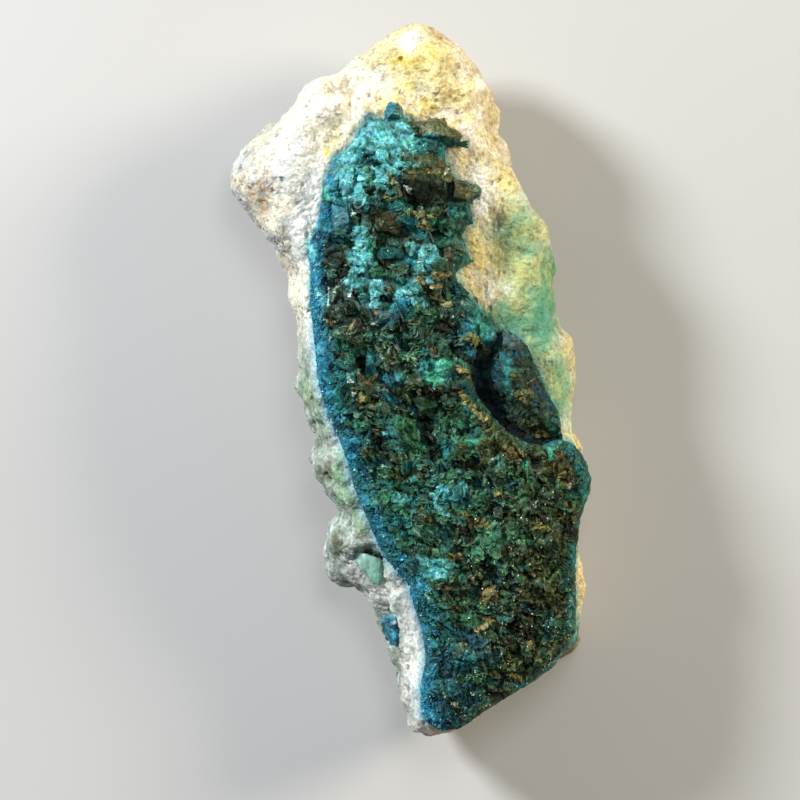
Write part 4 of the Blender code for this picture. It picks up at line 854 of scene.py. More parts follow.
        (0.13, -1.4, -9.6, -0.6, -9.9, 0.4, -10.0, 1.6, -10.2, 2.4, -9.3), (0.35, 4.0, -7.6, 6.4, -7.9),
        (0.3, 4.2, -4.8, 4.9, -4.6), (0.1, 11.9, -8.5, 12.3, -9.0, 12.8, -9.3, 13.4, -9.1),
        (0.16, 11.2, -8.7, 11.9, -9.4, 12.6, -10.0, 13.2, -10.4), (0.3, 10.6, -12.1, 10.9, -12.3),
        (0.28, 8.3, -1.5, 9.0, -2.2), (0.3, 3.7, 3.2, 4.3, 2.2, 5.2, 1.7), (0.25, -3.2, -5.4, -2.4, -6.0),
        (0.3, 7.4, -12.0, 8.4, -12.2), (0.25, 6.2, -16.6, 7.0, -16.9), (0.3, 10.2, -21.0, 10.9, -21.6),
        (0.25, -7.4, 8.9, -7.0, 8.8),
    ],
    "slate": [
        (0.3, -4.0, 24.0, -3.5, 23.7), (0.4, -1.6, 24.8, -1.2, 24.4), (0.7, 8.2, 3.9, 9.3, 3.4),
        (0.45, -3.5, 6.2, -3.2, 5.4), (0.4, -2.7, 6.4, -2.2, 5.9), (0.4, -6.9, 7.6, -6.1, 7.7),
        (0.3, 14.2, -6.5, 14.8, -7.2), (0.25, 2.4, -12.6, 2.6, -13.0), (0.3, -5.2, 16.0, -5.1, 15.3),
    ],
    # Painted glints: tiny pale highlights.
    "white": [
        (0.1, -5.3, 15.4, -5.1, 14.7), (0.07, 0.5, 10.5, 1.3, 10.9), (0.09, -7.3, 8.3, -7.5, 7.3, -7.2, 6.3),
        (0.1, -5.8, 9.4, -6.6, 8.6, -7.0, 7.2), (0.09, -5.4, 8.2, -6.3, 7.1, -6.9, 6.0),
        (0.07, -6.4, 8.4, -6.3, 7.3), (0.1, -3.4, 7.0, -3.3, 6.9), (0.1, -3.5, 5.2, -3.0, 5.0),
        (0.12, -2.9, -0.6, -2.3, -0.9), (0.1, -7.0, -3.4, -7.2, -3.9), (0.08, 7.3, -6.9, 7.2, -6.9),
        (0.07, 11.0, -10.7, 11.1, -11.3), (0.07, 9.5, -16.1, 9.6, -16.1), (0.07, 7.3, -19.9, 7.4, -19.9),
        (0.08, 5.65, 16.9, 5.7, 16.9), (0.07, 7.7, 2.3, 7.7, 2.0), (0.06, -6.8, 3.8, -7.0, 3.4),
        (0.07, 2.6, -11.3, 2.6, -11.4), (0.06, 8.0, -27.9, 8.0, -28.0), (0.06, 11.5, -8.3, 11.6, -8.3),
    ],
}

# Thin pale ridges: the edges and veins of leaves and plates. Half width, then the points of a line.
VEINS = [
    (0.06, 2.6, 12.2, 3.4, 13.3), (0.05, 3.8, 12.4, 4.9, 12.2), (0.05, 3.8, 11.9, 5.0, 11.7),
    (0.05, 3.8, 11.3, 5.0, 11.2), (0.07, -7.8, 10.9, -6.9, 10.4), (0.07, -7.7, 9.9, -6.6, 9.9, -5.9, 10.2),
    (0.06, -7.4, 9.3, -6.4, 9.4), (0.07, -2.9, 14.3, -2.3, 14.2), (0.06, -6.8, 4.6, -5.4, 4.9),
    (0.06, -6.6, 4.1, -5.0, 4.4), (0.06, -7.0, 5.9, -6.0, 5.6), (0.06, -4.6, 3.7, -3.6, 3.6, -3.0, 3.9),
    (0.08, -2.3, 3.4, -1.5, 2.8), (0.08, -2.4, 3.3, -3.0, 2.9), (0.08, -2.7, 2.6, -2.2, 1.5, -2.1, 1.2),
    (0.07, -1.3, 2.6, -1.8, 1.7), (0.05, -0.9, 1.6, 0.9, 3.0), (0.05, -0.9, 1.7, 0.2, 3.0),
    (0.05, -0.8, 1.4, 1.1, 2.3), (0.07, 0.8, -7.7, 1.4, -8.0, 2.2, -7.7, 2.5, -7.3),
    (0.06, 1.9, -8.8, 2.7, -8.7, 3.3, -8.3), (0.07, 0.1, -11.5, 0.2, -13.0, 0.5, -14.2),
    (0.07, 0.4, -12.4, 0.8, -13.4), (0.06, 8.5, -9.8, 9.0, -10.4, 9.5, -10.6), (0.06, 8.2, -11.0, 9.2, -11.4),
    (0.07, 8.2, -16.6, 8.8, -15.8), (0.07, 2.7, -27.2, 3.0, -27.8, 3.1, -28.6),
    (0.07, 3.9, 18.0, 4.6, 18.1, 6.0, 17.0), (0.05, 10.5, -0.2, 11.5, 0.3), (0.06, -3.0, -7.6, -2.0, -7.9),
    (0.06, -3.2, -8.3, -2.0, -8.6), (0.06, 6.0, -26.2, 6.8, -26.4), (0.06, 0.3, 6.9, 0.9, 5.2),
    (0.05, 0.9, 6.6, 1.9, 5.9), (0.06, -0.7, 14.9, 0.0, 15.3, 1.3, 15.0),
]


# Where soft crystals cover the crust, and where it is a brighter green: x, y, half sizes, strength.
MOSS = [
    (-4.2, 20.0, 3.2, 4.0, 1.0), (-0.6, 21.6, 3.2, 1.9, 0.9), (-4.6, 11.0, 1.0, 3.0, 0.8),
    (1.0, 11.2, 1.6, 1.2, 0.8), (-1.5, 7.8, 3.0, 1.3, 0.6), (-6.3, 15.5, 1.0, 2.5, 0.5),
    (5.8, 4.7, 1.4, 0.9, 1.0), (2.2, 0.8, 1.2, 1.2, 0.7), (1.8, -16.9, 2.0, 1.0, 0.6),
]
LEAFY = [
    (1.6, -10.8, 4.6, 3.4, 1.0), (-4.6, 3.2, 2.4, 1.2, 0.7), (4.6, -5.0, 2.4, 1.4, 0.8),
    (6.6, -14.0, 2.6, 2.0, 0.6), (-2.2, -4.6, 2.0, 2.4, 0.5),
]


FAN, LEAF = 3.2, Vector((2.1, 0.95, 1.2))  # the size of a fan of leaves, and of a leaf


def base_weights(plan):
    """How much each paint counts where no stroke lies."""
    lower = ramp(-plan[:, 1] + 0.35 * plan[:, 0], 3.0, 9.0)
    right = ramp(plan[:, 0] - 0.1 * plan[:, 1], 2.0, 9.0)
    weights = {name: np.zeros(len(plan)) for name in PAINTS}
    weights["dark_green"] += 0.55
    weights["umber"] += 0.40 * (1 - lower) + 0.22 * right
    weights["green"] += 0.22 + 0.45 * lower * (1 - 0.6 * right)
    weights["olive"] += 0.18 + 0.42 * lower * right
    weights["teal"] += 0.20 + 0.12 * lower * (1 - right)
    weights["deep_teal"] += 0.28
    weights["turquoise"] += 0.10 * (1 - lower)
    weights["khaki"] += 0.05 + 0.10 * lower * right
    weights["brown"] += 0.12
    moss, leafy = patch(MOSS, plan), patch(LEAFY, plan)
    for name, share in (("turquoise", 1.7), ("sky", 0.9), ("teal", 1.0), ("deep_teal", 0.3), ("mint", 0.3)):
        weights[name] += share * moss
    for name, share in (("teal", 0.7), ("green", 0.9), ("turquoise", 0.22), ("mint", 0.16)):
        weights[name] += share * leafy
    to_left = distance_to(LEFT_EDGE, plan, closed=False)
    along = ramp(-plan[:, 1], -19, -15)
    weights["azure"] += 2.8 * along * (1 - ramp(to_left, 0.8, 1.8))
    weights["navy"] += 1.0 * along * (1 - ramp(to_left, 1.4, 2.6))
    weights["teal"] += 0.5 * along * (1 - ramp(to_left, 1.6, 3.4))
    deep = patch([(3.6, -26.0, 2.8, 4.8, 1.0)], plan)
    for name, share in (("azure", 0.7), ("navy", 0.9), ("teal", 0.9)):
        weights[name] += share * deep
    to_rim = distance_to(RIM, plan, closed=False)
    weights["teal"] += 1.0 * (1 - ramp(to_rim, 0.10, 0.55)) * ramp(plan[:, 1], -24, -14)
    return np.stack([weights[name] for name in PAINTS], 1) ** 1.6


def leaves(co):
    """The crust's thin leaves, which lie in fans.

    At each point it gives the middle of its leaf, how high the point is across it, how near its edge, and
    fibres along it.
    """
    middle = np.empty((len(co), 3))
    across, gap, fibre = np.empty((3, len(co)))
    for index, place in enumerate(co):
        point = Vector(place)
        point += 0.35 * noise.noise_vector(point / 1.1)
        hub = noise.voronoi(point / FAN)[1][0]
        kind = noise.cell_vector(hub * 13.0)
        way = Vector((math.cos(math.pi * kind.x), math.sin(math.pi * kind.x), 0.0))
        side = Vector((-way.y, way.x, 0.0))
        local = point - hub * FAN
        cell = Vector((local.dot(way) / LEAF.x, local.dot(side) / LEAF.y, local.z / LEAF.z)) + 10 * kind
        distances, centres = noise.voronoi(cell)
        own = noise.cell_vector(centres[0] * 17.0)
        off = cell - centres[0]
        across[index] = math.copysign(off.y, own.x - 0.5) + 0.5 * off.x * (2 * own.y - 1)
        gap[index] = distances[1] - distances[0]
        centre = centres[0] - 10 * kind
        flat = hub * FAN + way * (centre.x * LEAF.x) + side * (centre.y * LEAF.y)
        middle[index] = flat + Vector((0, 0, centre.z * LEAF.z))
        strand = Vector((local.dot(way) / 1.3, local.dot(side) / 0.24, local.z / 0.5))
        fibre[index] = noise.noise(strand + 10 * kind)
    return middle, across, gap, fibre


HEIGHT, GLOSS, SOFT = 6, 7, 8  # where a paint's row has these, after its two colours


def painted(co):
    """The paints on the crust at each point: colour, height, gloss, softness, and how much of it is strokes.

    A firm stroke is a plate: it ends sharply and is tilted. A soft one fades into what lies round it.
    """
    shift = np.stack([grain(co, 1.1, 2, 20.0), grain(co, 1.1, 2, 21.0)], 1) * 0.30
    shift += np.stack([grain(co, 0.35, 2, 22.0), grain(co, 0.35, 2, 23.0)], 1) * 0.14
    plan = co[:, :2] + shift
    pick = np.clip(0.5 + 1.1 * grain(co, 0.32, 3, 50.0), 0, 1)[:, None]
    table = np.array([[*rgb(first), *rgb(second), *rest[:3]] for first, second, *rest in PAINTS.values()])
    chance = base_weights(plan)
    anchor = co + 0.75 * (leaves(co)[0] - co)
    for index in range(len(PAINTS)):
        chance[:, index] *= np.exp(4.0 * grain(anchor, 0.6, 2, 30.0 + index))
    chance /= chance.sum(1, keepdims=True)
    values = chance @ table
    cover = np.zeros(len(co))
    names = list(PAINTS)
    strokes = [(line[0], name, line[1:]) for name, lines in STROKES.items() for line in lines]
    for number, (half, name, line) in enumerate(sorted(strokes, key=lambda stroke: -stroke[0])):
        ends = np.array(line).reshape(-1, 2)
        target, soft, strength = table[names.index(name)].copy(), PAINTS[name][4], PAINTS[name][5]
        inner, outer = (0.7 - 0.5 * soft) * half, (1.1 + 0.35 * soft) * half
        near = np.flatnonzero(((plan > ends.min(0) - outer) & (plan < ends.max(0) + outer)).all(1))
        if len(near) == 0:
            continue
        share = strength * (1 - ramp(distance_to(ends, plan[near], closed=False), inner, outer))[:, None]
        # Painted shadow strokes lie in pits, sunk deeper the wider they are.
        if name == "pit_shade":
            target[HEIGHT] *= min(1.8, half / 0.25)
        way = ends[-1] - ends[0]
        angle = math.atan2(way[1], way[0]) + math.pi / 2 + 1.1 * math.sin(2.4 * number)
        across = (plan[near] - ends.mean(0)) @ [math.cos(angle), math.sin(angle)] / max(half, 0.3)
        tilt = math.copysign(0.26, math.sin(1.9 * number)) * (1 - soft) * min(half, 0.9)
        aim = np.tile(target, (len(near), 1))
        aim[:, HEIGHT] += tilt * np.clip(across, -1.4, 1.4)
        values[near] += (aim - values[near]) * share
        cover[near] = np.maximum(cover[near], share[:, 0])
    colour = values[:, 0:3] * (1 - pick) + values[:, 3:6] * pick
    for half, *line in VEINS:
        ends = np.array(line).reshape(-1, 2)
        near = np.flatnonzero(((plan > ends.min(0) - 0.2) & (plan < ends.max(0) + 0.2)).all(1))
        if len(near):
            share = (1 - ramp(distance_to(ends, plan[near], closed=False), 0.5 * half, 1.6 * half))[:, None]
            colour[near] += (rgb("8fa78e") - colour[near]) * 0.6 * share
            values[near, HEIGHT:GLOSS] += 0.12 * share
    return colour, values[:, HEIGHT], values[:, GLOSS], values[:, SOFT], cover


def lit(colour, share, curl, soft, co):
    """Colours with painted shade in the gaps of the relief, and painted highlights on what stands up and on
    curled ridges.
    """
    # Painted shade and light: darker where the relief is low, lighter where it stands up.
    level = (0.10 + 1.45 * share) * (1 - soft) + (0.45 + 0.95 * share) * soft
    colour = colour * level[:, None]
    # Painted warm highlight: tan on the raised parts of firm green crust.
    tan_highlight = ramp(share + 0.5 * grain(co, 0.7, 2, 51.0), 0.72, 1.15) * (1 - soft)
    green = ramp(colour[:, 1] - colour[:, 2], 0.0, 0.02)
    colour = colour + (rgb("6d663b") - colour) * (0.35 * tan_highlight * green)[:, None]
    # Painted highlight along the curled ridges, olive towards the lower right.
    low = ramp(0.6 * co[:, 0] - co[:, 1], 8, 20)[:, None]
    ridge = (0.42 * curl**2 * (1 - soft) * ramp(grain(co, 1.6, 2, 53.0), -0.3, 0.3))[:, None]
    colour = colour + (rgb("5f8f78") * (1 - low) + rgb("77744a") * low - colour) * ridge
    # Pale on the raised parts of soft crust: the moss's paler tips, partly painted highlight.
    pale = ramp(share + 0.3 * grain(co, 0.3, 2, 52.0), 0.55, 1.0)
    colour = colour + (rgb("93cbd0") - colour) * (0.35 * pale * soft)[:, None]
    return np.clip(colour, 0, 1)


# ---------------------------------------------------------------- crystal shapes


def template(points, tops, faces):
    """A shape's points, each point's share of the tip's colour, and its triangles."""
    return np.array(points, float), np.array(tops, float), np.array(faces)


# Each shape is about 1 high, and reaches a little below z = 0, where it is rooted.
WEDGE = template(
    [
        (-0.5, -0.5, -0.35), (0.5, -0.5, -0.35), (0.5, 0.5, -0.35), (-0.5, 0.5, -0.35),
        (-0.34, 0.1, 1.0), (0.30, -0.1, 0.86),
    ],
    [0, 0, 0, 0, 1, 1],
    [(0, 2, 1), (0, 3, 2), (0, 1, 5), (0, 5, 4), (1, 2, 5), (2, 3, 4), (2, 4, 5), (3, 0, 4)],
)
PRISM = template(
    [
        (-0.5, -0.36, -0.35), (0.5, -0.36, -0.35), (0.5, 0.36, -0.35), (-0.5, 0.36, -0.35),
        (-0.42, -0.32, 0.62), (0.46, -0.32, 0.5), (0.46, 0.32, 0.62), (-0.42, 0.32, 0.74),
        (-0.12, 0.12, 1.0), (0.2, 0.02, 0.9),
    ],
    [0, 0, 0, 0, 0.6, 0.6, 0.6, 0.6, 1, 1],
    [
        (0, 2, 1), (0, 3, 2), (0, 1, 5), (0, 5, 4), (1, 2, 6), (1, 6, 5), (2, 3, 7), (2, 7, 6), (3, 0, 4),
        (3, 4, 7), (4, 5, 9), (4, 9, 8), (5, 6, 9), (6, 7, 8), (6, 8, 9), (7, 4, 8),
    ],
)


def sample(mesh, count, rng, keep):
    """Random points on a mesh's faces, even by area, where keep(points, normals) allows them."""
    corners = np.empty(len(mesh.loop_triangles) * 3, np.int32)
    mesh.loop_triangles.foreach_get("vertices", corners)
    corners = coordinates(mesh)[corners.reshape(-1, 3)]
    cross = np.cross(corners[:, 1] - corners[:, 0], corners[:, 2] - corners[:, 0])
    area = np.linalg.norm(cross, axis=1)
    facing = cross / np.maximum(area, 1e-12)[:, None]
    share = keep(corners.mean(1), facing) * area
    chosen = rng.choice(len(area), count, p=share / share.sum())
    a, b = np.sqrt(rng.random(count)), rng.random(count)
    weights = np.stack([1 - a, a * (1 - b), a * b], 1)
    return (corners[chosen] * weights[:, :, None]).sum(1), facing[chosen]


def frames(axis, rng, lean):
    """Turned frames whose third axis leans at random away from each given axis."""
    count = len(axis)
    axis = axis + rng.normal(0, 1, (count, 3)) * lean
    axis /= np.linalg.norm(axis, axis=1, keepdims=True)
    side = np.cross(axis, rng.normal(0, 1, (count, 3)))
    side /= np.linalg.norm(side, axis=1, keepdims=True)
    return np.stack([side, np.cross(axis, side), axis], 2)


def grow(shape, places, turns, sizes, low, high, gloss):
    """Copies of one shape as arrays: points, faces and colours."""
    points, tops, faces = shape
    local = points[None] * sizes[:, None, :]
    world = np.einsum("nij,nkj->nki", turns, local) + places[:, None, :]
    colours = low[:, None, :] * (1 - tops[None, :, None]) + high[:, None, :] * tops[None, :, None]
    offsets = (np.arange(len(places)) * len(points))[:, None, None]
    triangles = (faces[None] + offsets).reshape(-1, 3)
    return world.reshape(-1, 3), triangles, colours.reshape(-1, 3), np.repeat(gloss, len(points))


def grown_mesh(points, faces, colours, gloss):
    """The mesh of a grown set of crystals."""
    mesh = mesh_of(points, faces)
    tint(mesh, colours, gloss)
    return mesh


HIGHEST, HIGHEST_SHARD = 16.35, 16.3  # no foot of a small crystal and no top of a shard is higher


def lowered(places):
    """Lowers the places that would be higher than the solids are."""
    places[:, 2] = np.minimum(places[:, 2], HIGHEST)
    return places


def turned(angles, first, second):
    """Rotations by each angle from one axis towards another."""
    made = np.zeros((len(angles), 3, 3)) + np.eye(3)
    made[:, first, first] = made[:, second, second] = np.cos(angles)
    made[:, second, first] = np.sin(angles)
    made[:, first, second] = -np.sin(angles)
    return made


def sheaves(places, facing, rng, shape, each, size, flatness, lean, fan, tips):
    """A mesh of sheaves of like crystals, side by side and slightly fanned, on places of a surface.

    size gives each sheaf's (height, width), flatness is thickness over width, lean how far a sheaf leans,
    fan the angle between its crystals, and tips how much painted tan highlight their tips get.
    """
    count = len(places)
    turns = frames(facing, rng, lean)
    base, _, gloss, soft, _ = painted(places)
    index = np.repeat(np.arange(count), each)
    order = np.tile(np.arange(each) - (each - 1) / 2, count)
    many = len(index)
    height = size[index, 0] * rng.uniform(0.65, 1.15, many) * (1 - 0.10 * np.abs(order))
    width = size[index, 1] * rng.uniform(0.7, 1.2, many)
    thick = width * flatness * rng.uniform(0.7, 1.4, many)
    angle = order * fan + rng.normal(0, 0.10, many)
    twist = rng.normal(0, 0.16, many)
    full = turns[index] @ turned(angle, 1, 2) @ turned(twist, 2, 0)
    step = turns[index][:, :, 1] * (order * thick * 1.05)[:, None]
    step += turns[index][:, :, 0] * (rng.normal(0, 0.16, many) * width)[:, None]
    colour = base[index] * rng.uniform(0.7, 1.4, (many, 1))
    # Painted shade at each blade's foot and painted light at its tip; some tips get a painted tan highlight.
    low = colour * np.array([0.4, 0.7, 0.75])
    tan_highlight = rgb("8d8350")
    share = tips * (1 - soft[index]) * rng.random(many)
    high = colour * 1.2 * (1 - share[:, None]) + tan_highlight * share[:, None]
    sizes = np.stack([width, thick, height], 1)
    return grown_mesh(*grow(shape, lowered(places[index] + step), full, sizes, low, high, gloss[index]))


# ---------------------------------------------------------------- the large crystals

# Foot corners x, y, and summits x, y, height above the bed; then the colours of the foot and of the summits.
LARGE_CRYSTALS = {
    "top_spur": (
        [(-2.4, 23.4), (-2.3, 24.3), (-0.8, 24.5), (-0.7, 23.4)],
        [(-1.9, 25.0, 1.6), (-1.2, 24.9, 1.9), (-1.7, 23.9, 2.7), (-1.1, 23.8, 2.5)],
        "1c667e", "6f929c",
    ),
    "top_roof": (
        [(0.0, 23.2), (2.3, 23.7), (3.3, 23.0), (4.6, 21.3), (2.9, 21.2), (0.9, 21.6)],
        [(0.6, 22.9, 1.9), (2.3, 23.1, 2.3), (3.9, 21.9, 1.8), (1.5, 22.0, 2.6), (2.9, 22.0, 2.5)],
        "1f7d86", "4d4a30",
    ),
    "dark_block": (
        [(-1.0, 19.7), (1.0, 20.2), (3.3, 19.4), (3.9, 18.1), (3.5, 15.6), (0.9, 15.0), (-0.4, 16.6)],
        [(-0.5, 19.3, 2.8), (3.3, 18.7, 3.3), (-0.6, 18.1, 3.7), (3.0, 17.6, 3.9), (3.0, 15.9, 2.9),
         (1.0, 15.6, 2.6)],
        "0a1c1e", "272213",
    ),
    "square_tip": (
        [(3.5, 18.2), (5.0, 17.9), (6.15, 17.0), (5.3, 16.0), (3.5, 15.8)],
        [(3.9, 17.8, 3.1), (4.9, 17.7, 2.9), (5.7, 17.0, 2.5), (4.9, 16.3, 2.8), (3.8, 16.4, 3.1)],
        "0f2c30", "4f4629",
    ),
    "lower_tip": (
        [(2.8, 16.1), (5.3, 16.1), (5.6, 14.2), (4.4, 13.9), (2.8, 14.2)],
        [(3.3, 15.7, 2.6), (4.9, 15.6, 2.3), (5.1, 14.7, 1.7), (3.4, 14.6, 2.1)],
        "135565", "152a2c",
    ),
    "striped_fan": (
        [(2.4, 12.6), (3.5, 13.5), (4.6, 12.9), (5.45, 10.8), (4.3, 10.1), (2.8, 10.1)],
        [(2.9, 12.6, 2.2), (3.7, 13.0, 2.0), (4.7, 11.7, 2.2), (4.6, 10.9, 1.8), (3.0, 11.0, 2.5)],
        "1c7484", "3d352a",
    ),
    "teal_wedge": (
        [(-1.0, 15.0), (0.6, 14.6), (1.7, 12.9), (0.3, 12.5), (-0.7, 13.0)],
        [(-0.7, 14.8, 2.9), (0.5, 14.4, 2.8), (1.3, 13.1, 2.0), (0.0, 12.9, 1.8)],
        "1d8496", "1f6f80",
    ),
    "pale_blade": (
        [(-0.5, 15.4), (1.4, 15.3), (3.0, 14.1), (1.5, 13.8), (0.4, 14.5)],
        [(0.0, 15.2, 2.9), (1.3, 14.9, 3.0), (2.6, 14.2, 2.5), (1.2, 14.3, 2.9)],
        "21655c", "6b6f4a",
    ),
    "brown_sheaf": (
        [(-4.0, 15.2), (-2.0, 15.6), (-0.8, 14.3), (-1.0, 13.0), (-3.2, 13.0)],
        [(-3.3, 14.9, 2.7), (-1.9, 15.1, 3.1), (-1.3, 14.1, 3.0), (-2.9, 13.5, 2.6), (-1.5, 13.3, 2.6)],
        "13292c", "3b2a1c",
    ),
    "left_columns": (
        [(-7.7, 16.4), (-5.6, 16.6), (-5.0, 14.0), (-5.6, 12.9), (-7.6, 13.2)],
        [(-7.1, 16.0, 1.7), (-5.9, 16.1, 2.2), (-5.5, 14.2, 2.6), (-6.9, 13.6, 2.0)],
        "17698c", "125070",
    ),
    "left_dark": (
        [(-8.2, 12.4), (-5.4, 12.6), (-4.9, 10.9), (-6.3, 9.0), (-8.0, 9.6)],
        [(-7.6, 12.0, 1.9), (-5.8, 12.1, 2.5), (-5.5, 11.0, 2.5), (-7.0, 9.7, 2.2)],
        "0f3c5c", "161f1f",
    ),
    "white_edged_blade": (
        [(-8.1, 6.3), (-7.3, 8.3), (-5.2, 9.6), (-4.9, 8.7), (-7.0, 6.1)],
        [(-7.5, 6.6, 2.0), (-6.9, 8.0, 2.7), (-5.4, 9.2, 2.6), (-5.4, 8.6, 2.3)],
        "133b50", "4b5a58",
    ),
    "middle_block": (
        [(-3.2, 12.2), (-0.4, 12.1), (0.0, 10.9), (-1.6, 10.2), (-3.2, 10.6)],
        [(-2.7, 11.9, 2.5), (-0.8, 11.7, 2.6), (-0.7, 11.0, 2.3), (-2.6, 10.9, 2.3)],
        "1f8299", "1f4248",
    ),
    "plate_1": (
        [(2.2, 9.9), (3.6, 9.6), (3.7, 9.0), (2.4, 9.2)],
        [(2.5, 9.7, 2.4), (3.4, 9.4, 2.0), (2.6, 9.4, 2.3)],
        "2a3a33", "8a6c4a",
    ),
    "plate_2": (
        [(0.5, 9.1), (2.9, 8.8), (3.1, 8.1), (0.8, 8.5)],
        [(0.8, 8.9, 2.7), (2.7, 8.5, 2.4), (1.0, 8.7, 2.8)],
        "26302a", "987853",
    ),
    "plate_3": (
        [(1.2, 7.9), (3.5, 7.4), (3.6, 6.4), (1.6, 7.1)],
        [(1.6, 7.6, 2.7), (3.3, 7.0, 2.5), (1.9, 7.3, 2.8)],
        "1f2a26", "7a5f40",
    ),
    "left_brown": (
        [(-7.4, 5.9), (-4.4, 6.1), (-3.4, 4.4), (-4.8, 3.2), (-7.0, 3.6)],
        [(-6.7, 5.5, 2.1), (-4.7, 5.6, 2.6), (-4.0, 4.4, 2.5), (-6.2, 4.0, 2.3)],
        "12242a", "33261b",
    ),
    "blue_slab": (
        [(-3.8, 6.4), (-1.3, 6.6), (-0.8, 5.5), (-3.5, 4.6)],
        [(-3.3, 6.1, 2.6), (-1.6, 6.2, 2.7), (-1.5, 5.6, 2.4), (-3.2, 5.0, 2.3)],
        "14586c", "27464a",
    ),
    "mint_block": (
        [(1.9, 0.6), (2.4, 2.2), (3.8, 1.9), (3.8, 0.8), (2.6, -0.2)],
        [(2.3, 0.9, 2.3), (2.7, 1.9, 2.5), (3.5, 1.5, 2.4), (2.9, 0.5, 2.2)],
        "1f7f78", "42b394",
    ),
    "beige_blade": (
        [(3.8, 1.2), (4.6, 1.4), (5.5, 0.7), (5.3, 0.3), (4.2, 0.5)],
        [(4.1, 1.1, 2.5), (5.1, 0.7, 2.2), (4.4, 0.8, 2.6)],
        "2a3f3a", "9c8460",
    ),
    "teal_edge": (
        [(4.3, 7.9), (5.3, 7.6), (6.5, 6.1), (5.2, 5.7), (3.9, 6.4)],
        [(4.5, 7.3, 1.9), (5.4, 6.8, 1.5), (5.1, 6.2, 1.6), (4.3, 6.8, 2.1)],
        "1f8a8c", "2d8a84",
    ),
    "green_facet": (
        [(2.9, -5.0), (5.9, -5.6), (5.5, -6.6), (4.3, -7.0), (3.2, -6.0)],
        [(3.5, -5.3, 2.3), (5.4, -5.8, 2.3), (4.4, -6.6, 2.1)],
        "1f5a4c", "5f6238",
    ),
    "green_ridge": (
        [(-1.2, -3.0), (0.5, -3.2), (0.9, -5.6), (-0.6, -5.8)],
        [(-0.7, -3.4, 2.1), (0.1, -3.6, 2.5), (0.4, -5.2, 2.4), (-0.4, -5.3, 2.0)],
        "17453f", "3c4527",
    ),
    "tan_facet": (
        [(6.0, -19.0), (6.9, -18.3), (8.1, -18.9), (7.9, -19.9), (6.4, -20.2)],
        [(6.4, -19.1, 2.1), (7.6, -19.0, 2.3), (7.3, -19.7, 2.2)],
        "2f3a22", "857945",
    ),
}


def hull(points):
    """The convex hull of points, as a closed shape with flat faces."""
    shape = bmesh.new()
    for point in points:
        shape.verts.new(point)
    made = bmesh.ops.convex_hull(shape, input=shape.verts)
    loose = list({*made["geom_interior"], *made["geom_unused"]} & set(shape.verts))
    bmesh.ops.delete(shape, geom=loose, context="VERTS")
    bmesh.ops.dissolve_limit(shape, angle_limit=0.05, verts=shape.verts, edges=shape.edges)
    bmesh.ops.recalc_face_normals(shape, faces=shape.faces)
    return shape


def trimmed(shape, place, direction):
    """Cuts away what lies beyond a plane, and closes the cut."""
    geometry = shape.verts[:] + shape.edges[:] + shape.faces[:]
    made = bmesh.ops.bisect_plane(shape, geom=geometry, plane_co=place, plane_no=direction, clear_outer=True)
    edges = [item for item in made["geom_cut"] if isinstance(item, bmesh.types.BMEdge)]
    if edges:
        bmesh.ops.edgenet_fill(shape, edges=edges)
        bmesh.ops.recalc_face_normals(shape, faces=shape.faces)


def layered_crystal(corners, low, high, rng, thickness):
    """A crystal built up of parallel growth layers, each a little larger or smaller than the next."""
    corners = np.array(corners, float)
    centre = corners.mean(0)
    spread = corners - centre
    _, _, axes = np.linalg.svd(spread, full_matrices=False)
    axis = axes[0] * 0.8 + axes[1] * rng.uniform(-0.5, 0.5) + axes[2] * rng.uniform(-0.25, 0.25)
    axis = Vector(axis).normalized()
    along = spread @ np.array(axis)
    count = max(2, int((along.max() - along.min()) / thickness))
    cuts = np.linspace(along.min(), along.max(), count + 1)
    cuts[1:-1] += np.array([rng.uniform(-0.3, 0.3) for _ in cuts[1:-1]]) * thickness
    whole = bmesh.new()
    layer = whole.verts.layers.float_color.new("Tint")
    foot, top = corners[:, 2].min(), corners[:, 2].max()
    for first, last in zip(cuts[:-1], cuts[1:]):
        shape = hull(corners)
        trimmed(shape, Vector(centre) + axis * (last + 0.03), axis)
        trimmed(shape, Vector(centre) + axis * (first - 0.03), -axis)
        if len(shape.faces) < 4:
            shape.free()
            continue
        grown = 1 + rng.uniform(-0.045, 0.02)
        shift = Vector([rng.uniform(-0.05, 0.05) for _ in range(3)])
        bevelled = [edge for edge in shape.edges if edge.calc_length() > 0.25]
        bmesh.ops.bevel(shape, geom=bevelled, offset=0.035, segments=1, affect="EDGES", clamp_overlap=True)
        shade = rng.uniform(0.7, 1.35)
        names = {}
        for vertex in shape.verts:
            place = Vector(centre) + (vertex.co - Vector(centre)) * grown + shift
            share = min(max((place.z - foot - 0.8) / (top - foot - 0.8) + rng.uniform(-0.15, 0.15), 0), 1)
            made = whole.verts.new(place)
            made[layer] = (*((low * (1 - share) + high * share) * shade), 1)
            names[vertex] = made
        for face in shape.faces:
            whole.faces.new([names[vertex] for vertex in face.verts])
        shape.free()
    return whole


def large_crystals():
    """The corners and colours of the large crystals, a little larger than the solids'."""
    for foot, summits, low, high in LARGE_CRYSTALS.values():
        corners = np.array([(x, y, 0.35) for x, y in foot] + summits)
        corners[:, 2] += bed_height(corners[:, :2])
        outward = corners - corners.mean(0)
        yield corners + 0.06 * outward / np.linalg.norm(outward, axis=1, keepdims=True), rgb(low), rgb(high)


SHARD_TIPS = ("1b2415", "2b2413", "33371d", "4a4426", "1d3a30")


